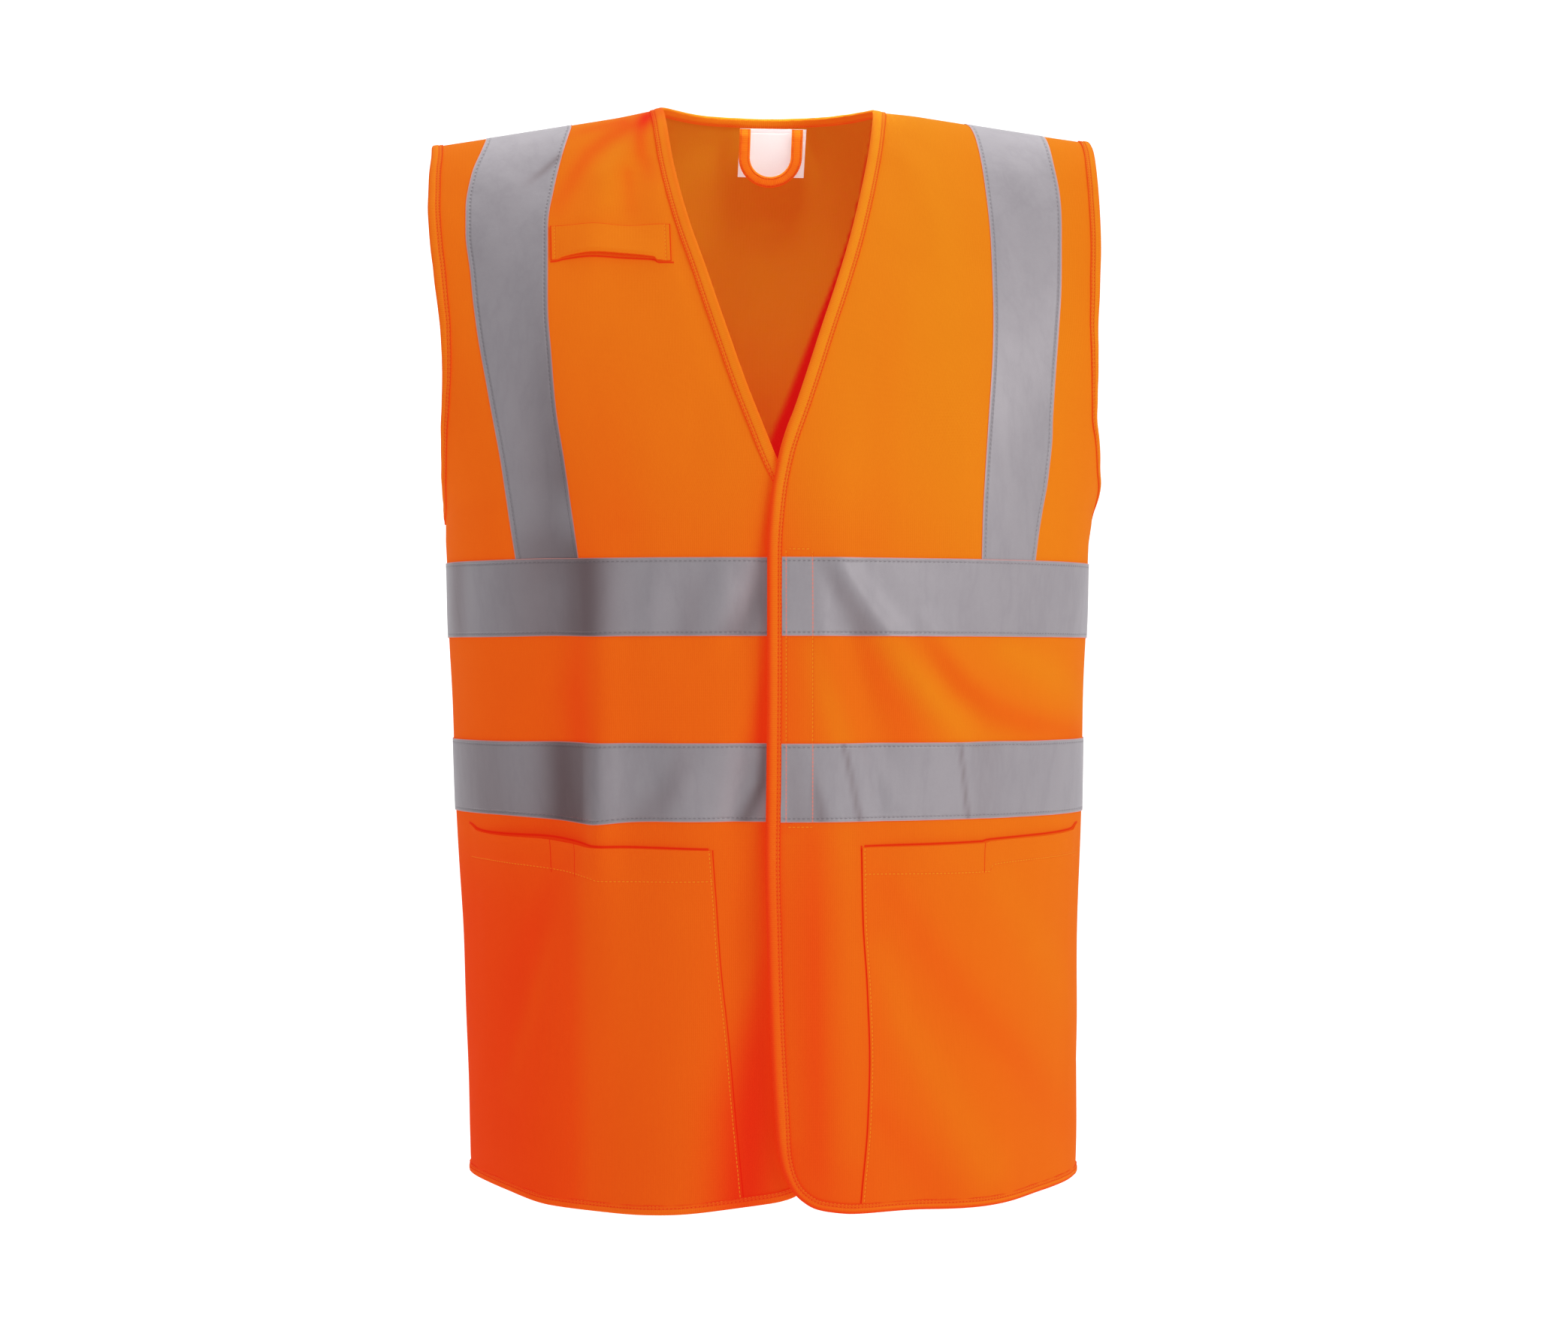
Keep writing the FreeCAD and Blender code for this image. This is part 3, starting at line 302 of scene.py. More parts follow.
FOLDS_LEFT = [
    [(25,424,0.4,8), (34,405,3,8), (58,370,4.8,10), (85,335,4.6,13), (109,303,2.4,15),
     (126,272,0.2,17)],
    [(24,400,-0.8,7), (36,362,-4.2,9), (48,322,-4.4,12), (60,290,-2,13), (70,258,0,14)],
    [(82,384,0.2,9), (100,356,3.6,10), (130,326,4.6,12), (160,305,2.8,14), (180,292,0,16)],
    [(74,362,-0.3,8), (98,336,-3.2,9), (128,306,-3.4,11), (152,286,-1,13)],
    [(48,300,-0.5,3.5), (54,272,-1.5,3.5), (58,250,-1,3.5)],
    [(123,300,-0.6,3.5), (124,272,-1.3,3.5), (125,246,-0.9,3.5)],
    [(168,298,-0.3,4), (170,270,-0.8,4), (170,246,-0.3,4)],
    [(100,620,0,20), (94,540,-1.5,22), (84,450,-1.8,22), (74,400,0,20)],
    [(88,690,1.2,10), (104,640,1.6,14), (112,580,0.8,18), (112,520,0,22)],
    [(150,700,-0.6,9), (164,640,-0.9,10), (166,560,-0.4,14), (155,500,0,16)],
    [(30,235,0,14), (34,150,1.5,18), (36,40,2.4,22), (36,-10,2.4,22)],
    [(76,230,0,18), (80,130,-1.8,22), (82,20,-3,26), (82,-10,-3,26)],
    [(126,225,0.4,18), (130,120,2.2,24), (132,10,3,26)],
    [(182,225,0.2,16), (180,110,-1.2,20), (178,0,-1.8,22)],
    [(192,440,0.6,10), (200,380,0.8,12), (198,300,0.4,14)],
]
FOLDS_BACK = [
    [(0,640,0,22), (4,500,-2.5,26), (2,340,-3.5,30), (0,150,-3,34), (0,-10,-4,36)],
    [(-62,560,0,24), (-66,420,2.5,28), (-60,240,3.5,32), (-62,-10,4.5,34)],
    [(70,590,0,24), (66,440,2.5,28), (72,220,3.5,32), (66,-10,4,34)],
    [(-124,420,0,22), (-128,260,-3,26), (-130,-10,-4,28)],
    [(130,430,0,22), (126,250,-3,26), (132,-10,-4,28)],
    [(-172,300,0,18), (-174,160,2.4,20), (-176,-10,3,20)],
    [(176,320,0,18), (174,150,2.2,20), (176,-10,3,20)],
    [(-140,700,0,12), (-110,610,-2,16), (-60,560,-1,20)],
    [(140,700,0,12), (112,604,-2,16), (58,556,-1,20)],
]


def drape(pts, arc, z, back, side):
    """Outward movement of the cloth at surface points."""
    x, y = pts[..., 0], pts[..., 1]
    below = ridge_at(x, back) - z
    window = ease((HALF_WIDTH(z) - np.abs(x)) / 22.0) * ease(below / 16.0)
    front = folds(x, z, FOLDS_LEFT if side >= 0 else FOLDS_RIGHT)
    move = window * np.where(back, folds(x, z, FOLDS_BACK), front)
    soft = (np.sin(x / 17.0 + 1.3 * np.sin(z / 61.0) + 0.4) * np.sin(z / 43.0 + y / 37.0 + 0.8)
            + 0.7 * np.sin(x / 9.3 - z / 31.0 + 2.0)
            * np.sin(z / 23.0 + x / 51.0 - 0.7 + y / 29.0)
            + 0.5 * np.sin((x + 0.8 * z) / 11.0 + y / 19.0) * np.sin(z / 71.0 + 1.9))
    move = move + 0.34 * soft * ease(below / 30.0)
    # the shoulder and side seams are drawn in
    move = move - 0.45 * bell(below, 1.6) * (np.abs(x) > NECK_X)
    seam = np.minimum(np.abs(np.abs(arc) - SIDE_ARC), np.abs(np.abs(arc) - FAR_SIDE))
    return move - 0.55 * bell(seam, 1.5) * ease((ARM_Z - z) / 10.0)


def overlap_lift(x, z, back):
    """The left front rises to lie over the right one."""
    return np.where(back | (x > 62), 0.0, 4.25 * ease((61 - x) / 43.0) * ease((565 - z) / 60.0))


def edge_lean(x, z):
    return 0.0150 * (z - 351.0) * np.minimum((x / 215.0) ** 2, 1.1)


# z -> sideways shift of the armhole edges
SHIFT_RIGHT = curve([430, 448, 464, 510, 541, 572, 587, 618, 649, 665, 680, 696, 728],
                    [0, 0.9, 0.9, 0, -1.1, -2.6, -4.0, -5.1, -5.2, -4.2, -3.1, -1.0, 0])
SHIFT_LEFT = curve(
    [430, 446, 464, 479, 495, 510, 525, 541, 572, 595, 618, 649, 680, 696, 728],
    [0, 1.4, 1.8, -.4, -1.6, -3.4, -2.6, -1.6, -.9, .6, 1.3, 2.3, 3.2, 4.0, 4.2])


def askew(pts):
    """The sides' small lean and the uneven shoulders, as in the frame."""
    moved = pts.copy()
    x, z = pts[..., 0], pts[..., 2]
    tip = np.minimum(np.abs(x / 214.0) ** 7, 1.15)
    moved[..., 0] = x - edge_lean(x, z) + tip * np.where(x < 0, SHIFT_RIGHT(z), SHIFT_LEFT(z))
    moved[..., 2] = z + 0.0215 * x * ease((np.abs(x) - 62.0) / 44.0) * ease((z - 600.0) / 90.0)
    return moved


def surf(arc, z, side=0):
    """Points of the draped surface and the outward directions there."""
    arc, z = np.broadcast_arrays(np.asarray(arc, float), np.asarray(z, float))
    x, back = locate(arc, z)
    pts, out = place(arc, z), normal(arc, z)
    move = drape(pts, arc, z, back, side)
    if side > 0:
        move = move + overlap_lift(x, z, back)
    return askew(pts + out * move[..., None]), out


# ---------------------------------------------------------------- painted shade and light on the cloth and the tape
# painted shade and highlight along folds and edges: lines of (x, z, strength, width); positive is
# redder, painted shade, negative is yellower, painted highlight
PAINTED_FOLD_SHADE = {
    LEFT: [
        [(46,368,.10,7), (52,350,.20,9), (60,335,.22,11), (70,318,.22,14), (76,298,.20,17)],
        [(14,354,-.12,8), (22,325,-.24,9), (30,298,-.24,10)],
        [(57,364,-.14,8), (72,346,-.24,11), (88,330,-.26,13), (108,312,-.20,15),
         (134,296,-.08,16)],
        [(85,368,.12,8), (98,350,.24,8), (112,333,.28,9), (134,318,.27,11), (160,309,.26,11),
         (200,301,.20,10)],
        [(145,356,-.12,10), (180,340,-.14,14), (212,322,-.10,12)],
        [(13,240,.10,6), (14,170,.17,6), (15,100,.20,7), (17,30,.16,8), (20,8,.05,8)],
        [(33,240,-.14,9), (36,150,-.18,11), (38,40,-.12,12)],
        [(-4,236,-.18,6), (-4,150,-.24,6), (-2,50,-.26,7)],
        [(62,208,.08,10), (86,170,.13,13), (112,132,.15,14), (152,88,.14,15), (190,40,.08,18)],
        [(56,164,-.12,11), (72,122,-.16,12), (90,92,-.17,13), (130,20,-.16,16)],
        [(58,60,.10,10), (80,32,.12,14), (100,4,.12,16)],
        [(139,206,-.08,14), (170,160,-.09,16), (198,120,-.06,16)],
        [(60,640,0,10), (66,560,.04,14), (60,480,.03,14), (50,430,.04,14)],
    ],
    RIGHT: [
        [(-13,455,.20,2.2), (-16.5,432,.34,2.6), (-17,416,.36,2.6)],
        [(-17,368,.30,2.8), (-18,335,.50,4.2), (-20,298,.58,7.5)],
        [(-17,247,.30,4), (-17,200,.24,4), (-17,168,.26,5), (-18,140,.42,9), (-22,100,.60,16),
         (-26,60,.68,22), (-30,0,.68,22)],
        [(-150,208,.10,8), (-163,175,.15,10), (-175,142,.13,12), (-180,90,.09,14),
         (-178,40,.05,14)],
        [(-151,172,-.05,5), (-160,140,-.13,5), (-172,96,-.16,6), (-178,64,-.10,8)],
        [(-77,726,.50,8), (-84,719,.44,8), (-96,712,.36,6), (-109,705,.32,6), (-122,693,.28,6),
         (-130,680,.26,6), (-142,656,.18,7), (-147,636,0,8)],
        [(-84,720,.42,5), (-89,704,.40,5), (-89,690,.30,5), (-83,674,.12,7), (-76,664,0,7)],
        [(-100,718,.30,5), (-122,712,.20,4), (-134,708,.08,4)],
        [(-98,676,.16,4), (-97,650,.10,5), (-95,636,0,5)],
        [(-72,706,.16,5), (-68,680,.14,5), (-62,640,.08,6), (-56,600,0,6)],
        [(-104,694,-.12,7), (-113,678,-.14,8), (-112,655,-.08,9)],
        [(-134,368,.12,10), (-137,330,.25,12), (-134,296,.27,12)],
        [(-124,560,0,16), (-118,500,.05,16), (-106,440,.08,18)],
    ],
}
# x -> painted light on each front, yellower where lit and redder in shade: low, middle and top of
# the vest
PAINTED_LIGHT = {
    LEFT: (([-18, -10, 4, 20, 40, 70, 108, 150, 184, 212],
            [.45, .5, .62, .72, .80, .92, 1.00, 1.03, 1.08, 1.0]),
           ([-18, -8, 10, 40, 75, 108, 180, 212], [.62, .7, .85, .92, .98, 1.06, 1.08, 1.0]),
           ([0, 40, 75, 108, 180, 222], [.95, 1.02, 1.05, 1.10, 1.0, .9])),
    RIGHT: (([-212, -172, -139, -127, -105, -70, -45, -28, -12, 8],
             [.46, .50, .58, .80, .88, .90, .84, .80, .76, .74]),
            ([-212, -178, -130, -92, -30, -10, 8], [.82, .78, .76, .84, .84, .72, .6]),
            ([-222, -180, -106, -40, 0], [.80, .84, .88, .92, .9])),
}
# z -> painted light on the fronts and on the back
PAINTED_LIGHT_FRONT_Z = ([0, 125, 250, 335, 450, 560, 640, 728],
                  [.64, .70, .76, .82, .96, 1.04, 1.04, 1.0])
PAINTED_LIGHT_BACK_Z = ([0, 200, 450, 728], [.82, .90, 1.0, 1.34])


def redness(x, z, side, back):
    """Painted shade on the cloth, 0 lit to 1 deep red: redder low down and towards the wearer's
    right, away from the key light, and along the painted fold lines.
    """
    key = LEFT if side > 0 else RIGHT
    low, middle, top = (np.interp(x, *points) for points in PAINTED_LIGHT[key])
    waist, chest = ease((z - 175) / 110.0), ease((z - 400) / 90.0)
    yellow = low * (1 - waist) + middle * waist
    yellow = yellow * (1 - chest) + top * chest
    yellow = np.interp(z, *PAINTED_LIGHT_FRONT_Z) * yellow
    yellow = yellow * np.clip(1 - folds(x, z, PAINTED_FOLD_SHADE[key]), 0.15, 1.3)
    # the back: painted shade, deeper lower down
    yellow = np.where(back, 0.86 * np.interp(z, *PAINTED_LIGHT_BACK_Z), yellow)
    return np.clip((1 - yellow / 1.347) / 0.93, 0, 1)


def marks(x, z, side, back=False, **lines):
    """Point attributes of cloth: painted shade (red), and signed distances to lines of stitches
    (la up the cloth, lb round it) and to painted shadow lines at edges and creases (ed up the
    cloth, eh round it)."""
    one = np.ones(x.shape)
    found = {key: lines.get(key, NO_LINE) * one for key in ("la", "lb", "ed", "eh")}
    return {"red": redness(x, z, side, back) * one, **found}


# painted shade on the reflective tape, where the cloth turns away from the light: lines of (x, z,
# strength, width)
PAINTED_TAPE_SHADE_LEFT = [
    [(19,414,.10,4), (30,396,.26,6), (40,380,.32,8), (49,366,.34,9)],
    [(32,298,.50,1.6), (38,272,.34,2), (43,247,.50,2.2)],
    [(109,298,.42,1.4), (113,272,.40,1.5), (116,247,.45,1.6)],
    [(13.5,284,.05,2.5), (15,266,.34,3.5), (18,247,.46,5)],
    [(-2,300,.12,7), (4,246,.26,8)],
    [(130,300,.10,12), (126,246,.10,12)],
]
PAINTED_TAPE_SHADE_RIGHT = [
    [(-128,418,.76,15), (-129,366,.80,16)],
    [(-210,416,.45,6), (-210,366,.45,6)],
    [(-196,298,.36,20), (-190,248,.44,22)],
    [(-129,298,.50,9), (-129,248,.50,10)],
    [(-137,470,.46,15), (-146,540,.26,14), (-150,590,.05,14)],
    [(-168,540,.05,12), (-160,470,.26,16), (-150,418,.20,18)],
    [(-14,416,.08,6), (-20,390,.30,9), (-34,366,.40,12)],
    [(-66,366,.18,8), (-60,400,.08,8)],
    [(-17,298,.45,3), (-19,272,.68,4), (-30,248,.62,6)],
    [(-68,290,.15,8), (-75,268,.24,9), (-92,248,.28,12)],
    [(-142,690,.55,2.2), (-152,680,.45,2.6), (-163,670,.10,3)],
]
# painted shade that fades out inboard: line, x where it starts, length of the fade
PAINTED_TAPE_SHADE_RIGHT_FADED = [
    ([(-162,418,.34,20), (-160,366,.40,22)], -132, 8.0),
    ([(-147,298,.84,15), (-146,248,.90,15)], -127, 6.0),
]


def painted_tape_shade(x, z, side):
    """How much painted shade greys the reflective tape where it turns from the light; on the
    wearer's right a little everywhere.
    """
    if side > 0:
        return np.clip(folds(x, z, PAINTED_TAPE_SHADE_LEFT), 0, 0.6)
    grey = folds(x, z, PAINTED_TAPE_SHADE_RIGHT)
    for rows, start, fade in PAINTED_TAPE_SHADE_RIGHT_FADED:
        grey = grey + fold(x, z, rows) * ease((start - x) / fade)
    return np.clip(grey + 0.05, 0, 0.95)


# ---------------------------------------------------------------- outlines
# z -> x of the front edges
FRONT_EDGE = {
    LEFT: curve([20, 35, 75, 125, 174, 224, 274, 374, 418, 453, 481, 519, 542, 566, 595, 626,
                 661, 691, 717, 728],
                [-2.0, -7.2, -10.8, -13.4, -15.0, -16.1, -15.7, -15.3, -15.2, -12.6, -7.3, 6.0,
                 14.3, 22.9, 33.8, 44.7, 55.4, 63.8, 70.2, 73.0]),
    RIGHT: curve([24, 36, 60, 120, 374, 395, 418, 436, 453, 470, 478, 503, 529, 555, 581, 608,
                  636, 659, 689, 714, 728],
                 [13.0, 15.0, 15.3, 15.3, 15.3, 15.2, 13.5, 9.0, 1.5, -6.0, -9.8, -19.4, -28.8,
                  -37.0, -44.7, -52.2, -60.3, -65.4, -70.0, -72.0, -73.0]),
}
# x, z where each front edge turns into the hem
CORNER = {LEFT: (-7.2, 35.0), RIGHT: (15.0, 36.0)}
# x -> z of the hems
HEM = {
    LEFT: curve([-7.2, -5, -2, 0.4, 6, 15.5, 27, 38, 83, 128, 171, 207],
                [35, 27, 19.5, 15.0, 8.5, 2.6, 0.2, -1.2, -2.7, -4.6, -2.7, -1.3]),
    RIGHT: curve([-207, -202, -183, -152, -118, -83, -44, -20, 0.4, 8, 13, 15],
                 [4.0, 3.8, 1.8, -3.0, -4.2, -2.8, 0.4, 4.0, 9.0, 14.5, 23.0, 36.0]),
}
BACK_HEM = curve([-207, -180, -120, 0, 120, 207], [4.0, 2.4, 0.5, 0.0, 0.0, -1.3])
# pockets: z -> |x| of the inboard and outboard edges
POCKET_IN = {
    LEFT: curve([5, 53, 98, 143, 184, 232], [44.1, 48.6, 50.0, 48.3, 45.6, 44.4]),
    RIGHT: curve([5, 15, 65, 110, 159, 199, 229], [31.0, 32.0, 37.0, 41.0, 46.0, 48.6, 50.6]),
}
POCKET_OUT = curve([4, 60, 86, 124, 190, 234, 243], [207.2, 206.6, 205, 200.6, 202, 204.4, 204.6])
# |x| -> z of the pocket mouth and of the stitched band below it
MOUTH = {
    LEFT: curve([40, 126, 130, 134, 193, 198.5, 201, 203],
                [231.5, 232.4, 233.4, 233.6, 236.0, 236.8, 239.0, 240.0]),
    RIGHT: curve([40, 90, 122, 140, 160, 190, 199, 203, 206],
                 [229.5, 230.5, 231.0, 233.0, 235.5, 236.6, 238.0, 241.0, 242.0]),
}
BAND = {
    LEFT: curve([40, 126, 131, 132, 137, 193, 215],
                [214.5, 213.5, 213.5, 217.5, 218.5, 220.5, 221]),
    RIGHT: curve([40, 60, 120, 124, 190, 215], [210.5, 210.0, 209.5, 211.0, 219.0, 220.0]),
}
# brace tapes on the front: z -> |x| of the inboard and outboard edges
BRACE = {
    LEFT: (curve([416, 445, 481, 517, 553, 591, 635, 670, 701, 723],
                 [124.7, 125.8, 128.4, 132.1, 135.8, 138.3, 139.8, 139.9, 139.1, 135.6]),
           curve([416, 436, 467, 498, 540, 582, 626, 660, 690, 714],
                 [164.1, 166.7, 172.6, 177.3, 180.3, 185.0, 188.6, 190.7, 188.9, 188.2])),
    RIGHT: (curve([415, 445, 480, 515, 551, 577, 615, 637, 665, 686, 715],
                  [134.4, 138.9, 144.0, 149.0, 151.3, 152.7, 152.4, 152.1, 148.1, 143.6, 135.2]),
            curve([416, 451, 486, 527, 568, 605, 632, 655, 678, 706],
                  [174.8, 180.4, 185.6, 192.2, 198.3, 200.8, 203.4, 203.5, 201.0, 193.0])),
}
# chest strap: outer end, length and upper edge; fraction of the length -> z of the lower edge
STRAP_X, STRAP_L, STRAP_TOP, STRAP_W = -148.6, 76.0, 636.0, 22
STRAP_LOW = curve([0, .05, .10, .35, .6, .83, .86, .88, 1.0],
                  [611.4, 611.8, 612.8, 614.2, 614.0, 612.8, 612.4, 610.6, 610.4])
# closure: centre x and half width of the stitched box, middle z and half height
BOX_X, BOX_HALF_W, BOX_Z, BOX_HALF_H = 4.0, 8.3, 333.0, 88.0


# ---------------------------------------------------------------- materials
class Material:
    """Short names for building a node material."""

    def __init__(self, name):
        self.data = bpy.data.materials.new(name)
        self.data.use_nodes = True
        self.tree = self.data.node_tree
        self.tree.nodes.clear()
        self.out = self.node("OutputMaterial")

    def node(self, kind, **settings):
        node = self.tree.nodes.new("ShaderNode" + kind)
        for key, value in settings.items():
            setattr(node, key, value)
        return node

    def put(self, socket, value):
        if isinstance(value, bpy.types.NodeSocket):
            self.tree.links.new(value, socket)
        elif isinstance(value, tuple):
            socket.default_value = (*value, 1.0)
        else:
            socket.default_value = value

    def math(self, operation, *values, clamp=False):
        node = self.node("Math", operation=operation, use_clamp=clamp)
        for socket, value in zip(node.inputs, values):
            self.put(socket, value)
        return node.outputs[0]

    def add(self, a, b):
        return self.math("ADD", a, b)

    def mul(self, a, b):
        return self.math("MULTIPLY", a, b)

    def scaled(self, a, factor, offset, clamp=False):
        return self.math("MULTIPLY_ADD", a, factor, offset, clamp=clamp)

    def total(self, first, *rest):
        """Sum of (socket, weight) pairs."""
        term = self.mul(*first)
        return self.add(term, self.total(*rest)) if rest else term

    def uv(self, axes=2):
        """The UV coordinates in mm."""
        split = self.node("SeparateXYZ")
        self.put(split.inputs[0], self.node("UVMap", uv_map="UVMap").outputs[0])
        return [self.mul(split.outputs[i], 100.0) for i in range(axes)]

    def attr(self, name):
        return self.node("Attribute", attribute_name=name).outputs["Fac"]

    def noise(self, scale, detail=2.0, rough=0.5, stretch=None):
        node = self.node("TexNoise")
        node.inputs["Scale"].default_value = scale
        node.inputs["Detail"].default_value = detail
        node.inputs["Roughness"].default_value = rough
        vector = self.node("TexCoord").outputs["Object"]
        if stretch:
            mapping = self.node("Mapping")
            mapping.inputs["Scale"].default_value = stretch
            self.put(mapping.inputs["Vector"], vector)
            vector = mapping.outputs[0]
        self.put(node.inputs["Vector"], vector)
        return node.outputs["Fac"]

    def wave(self, a, pitch, phase=0.0):
        """0..1 sine along a, in mm."""
        sine = self.math("SINE", self.scaled(a, 2 * math.pi / pitch, phase), 0.0)
        return self.scaled(sine, 0.5, 0.5)

    def near(self, a, width):
        """1 where a is 0, falling to 0 at width."""
        q = self.math("DIVIDE", self.math("ABSOLUTE", a, 0.0), width)
        q = self.math("MINIMUM", q, 1.0)
        q = self.math("SUBTRACT", 1.0, self.mul(q, q))
        return self.mul(q, q)

    def mix(self, factor, a, b):
        node = self.node("Mix", data_type="RGBA")
        for index, value in ((0, factor), (6, a), (7, b)):
            self.put(node.inputs[index], value)
        return node.outputs[2]

    def stitches(self, along, off, pitch, width, gap, pull=1.1):
        """Thread mask and the groove the thread pulls, by distance off the line."""
        line = self.near(off, width)
        wave = self.wave(along, pitch)
        beat = self.math("MULTIPLY", self.add(wave, -gap), 4.0, clamp=True)
        return self.mul(line, beat), self.near(off, pull)

    def beside(self, groove, thread):
        return self.math("SUBTRACT", groove, thread, clamp=True)

    def sewn(self, height, thread, groove, along, pitch, raised, pucker, depth):
        """Height with the thread raised and the puckered groove sunk, in mm."""
        puckers = self.mul(groove, self.wave(along, pitch, 1.6))
        sunk = self.add(groove, self.mul(puckers, pucker))
        return self.add(height, self.total((thread, raised), (sunk, -depth)))

    def bump(self, height_mm, strength):
        node = self.node("Bump")
        node.inputs["Distance"].default_value = 0.001
        node.inputs["Strength"].default_value = strength
        self.put(node.inputs["Height"], height_mm)
        return node.outputs[0]

    def shade(self, colour, rough, spec, height=None, strength=1.0, sheen=0.0,
              sheen_tint=(1, 1, 1), glow=None, glow_strength=1.0, thin=0.0, thin_colour=None,
              metal=0.0):
        """Finish with the surface; thin is the share of light let through."""
        shader = self.node("BsdfPrincipled")
        values = {"Base Color": colour, "Roughness": rough, "Specular IOR Level": spec,
                  "Metallic": metal, "Sheen Weight": sheen, "Sheen Roughness": 0.45,
                  "Sheen Tint": sheen_tint}
        if glow is not None:
            values.update({"Emission Color": glow, "Emission Strength": glow_strength})
        if height is not None:
            values["Normal"] = self.bump(height, strength)
        for key, value in values.items():
            self.put(shader.inputs[key], value)
        last = shader.outputs[0]
        if thin > 0:
            through = self.node("BsdfTranslucent")
            self.put(through.inputs["Color"], thin_colour)
            both = self.node("MixShader")
            for socket, value in zip(both.inputs, (thin, last, through.outputs[0])):
                self.put(socket, value)
            last = both.outputs[0]
        self.put(self.out.inputs["Surface"], last)
        return self.data


WARM_SHEEN = (1.0, 0.4, 0.08)


def knit(name, base, deep, glow, stitched=True, reverse=False):
    """Knitted cloth with painted shade and a glow that is partly painted light; if stitched,
    lines of stitches with painted shade in their grooves, and painted shadow lines at edges and
    creases.
    """
    mat = Material(name)
    across, up = mat.uv()
    rib = mat.wave(across, 1.25)
    loops = mat.wave(mat.add(up, mat.mul(rib, 0.35)), 0.95)
    fibre = mat.noise(1400.0, rough=0.6)
    blotch = mat.noise(7.0, detail=3.0, rough=0.55)
    streak = mat.noise(60.0, detail=3.0, rough=0.6, stretch=(1.0, 1.0, 0.08))
    tone = mat.total((rib, 0.20), (loops, 0.10), (fibre, 0.30), (blotch, 0.45), (streak, 0.25))
    tone = mat.scaled(tone, 1.25, -0.35, clamp=True)
    colour = mat.mix(tone, deep, base)
    # painted shade: a point attribute mixes the colour towards deep red where shade falls
    colour = mat.mix(mat.attr("red"), colour, (base[0] * 0.98, 0.012, 0.004))
    slow = mat.noise(45.0, detail=3.0)
    height = mat.total((rib, 0.055), (loops, 0.03), (fibre, 0.05), (slow, 0.55))
    # the glow is partly the dye's real fluorescence and partly painted light: it shines even
    # where no light falls
    glow_out = mat.mix(tone, tuple(c * 0.94 for c in glow),
                       tuple(min(c * 1.05, 1) for c in glow))
    if reverse:
        inred = mat.attr("inred")
        colour = mat.mix(inred, colour, (0.16, 0.004, 0.003))
        # painted shadow inside the back darkens the colour and dims the glow; a second attribute
        # node feeds the glow
        glow_out = mat.mix(mat.attr("inred"), glow_out, (0.50, 0.004, 0.004))
    if stitched:
        shadow = (deep[0] * 0.90, deep[1] * 0.25, deep[2])
        light = (base[0] * 1.1, base[1] * 1.35, base[2] * 2.0)
        for line, along in (("la", up), ("lb", across)):
            thread, groove = mat.stitches(along, mat.attr(line), 2.7, width=0.42, gap=0.25)
            colour = mat.mix(mat.mul(mat.beside(groove, thread), 0.34), colour, shadow)
            colour = mat.mix(mat.mul(thread, 0.60), colour, light)
            height = mat.sewn(height, thread, groove, along, 2.7,
                              raised=0.12, pucker=0.6, depth=0.22)
        # painted shadow lines along pocket edges and mouths, band creases and the chest strap
        edge_shadow = mat.math("MAXIMUM", mat.near(mat.attr("ed"), 1.0), mat.near(mat.attr("eh"), 1.2))
        colour = mat.mix(mat.mul(edge_shadow, 0.85), colour, (base[0] * 0.80, 0.006, 0.002))
    return mat.shade(colour, rough=0.90, spec=0.03, height=height, strength=0.8, sheen=0.05,
                     sheen_tint=WARM_SHEEN, glow=glow_out, thin=0.12,
                     thin_colour=(0.75, 0.12, 0.01))


def ribbed(name, base, deep, glow):
    """Binding: ribs across the strip, rows of stitches where the attribute st is 0, and painted
    shade over the strip, on its rolled edge, in the stitch grooves and at its foot.
    """
    mat = Material(name)
    along = mat.uv(axes=1)[0]
    rib = mat.wave(along, 1.35)
    fibre = mat.noise(1500.0, rough=0.6)
    slow = mat.noise(35.0)
    tone = mat.total((rib, 0.55), (fibre, 0.30), (slow, 0.45))
    colour = mat.mix(mat.scaled(tone, 1.15, -0.2, clamp=True), deep, base)
    # painted shade: a point attribute mixes the colour towards deep red
    colour = mat.mix(mat.attr("red"), colour, (base[0] * 0.98, 0.014, 0.004))
    height = mat.total((rib, 0.10), (fibre, 0.05), (slow, 0.35))
    # painted shade on the rolled edge, stronger on the left front below the V
    rolled = mat.mul(mat.attr("roll"), mat.scaled(mat.attr("left_front_roll_shadow"), 0.5, 0.16))
    colour = mat.mix(rolled, colour, (base[0] * 0.95, 0.016, 0.004))
    thread, groove = mat.stitches(along, mat.attr("st"), 2.6, width=0.26, gap=0.28, pull=0.70)
    # painted shade in the grooves beside the stitches
    colour = mat.mix(mat.mul(mat.beside(groove, thread), 0.72), colour,
                     (deep[0] * 0.85, deep[1] * 0.10, deep[2]))
    colour = mat.mix(mat.mul(thread, 0.28), colour,
                     (base[0] * 1.1, base[1] * 1.25, base[2] * 2.5))
    # painted shade at the foot, where the binding meets the cloth
    colour = mat.mix(mat.mul(mat.attr("foot"), 0.9), colour, (base[0] * 0.75, 0.008, 0.003))
    height = mat.sewn(height, thread, groove, along, 2.6, raised=0.14, pucker=0.5, depth=0.28)
    # the given glow is partly the dye's real fluorescence and partly painted light
    return mat.shade(colour, rough=0.88, spec=0.03, height=height, strength=0.9, sheen=0.05,
                     sheen_tint=WARM_SHEEN, glow=glow, thin=0.06, thin_colour=(0.7, 0.12, 0.01))


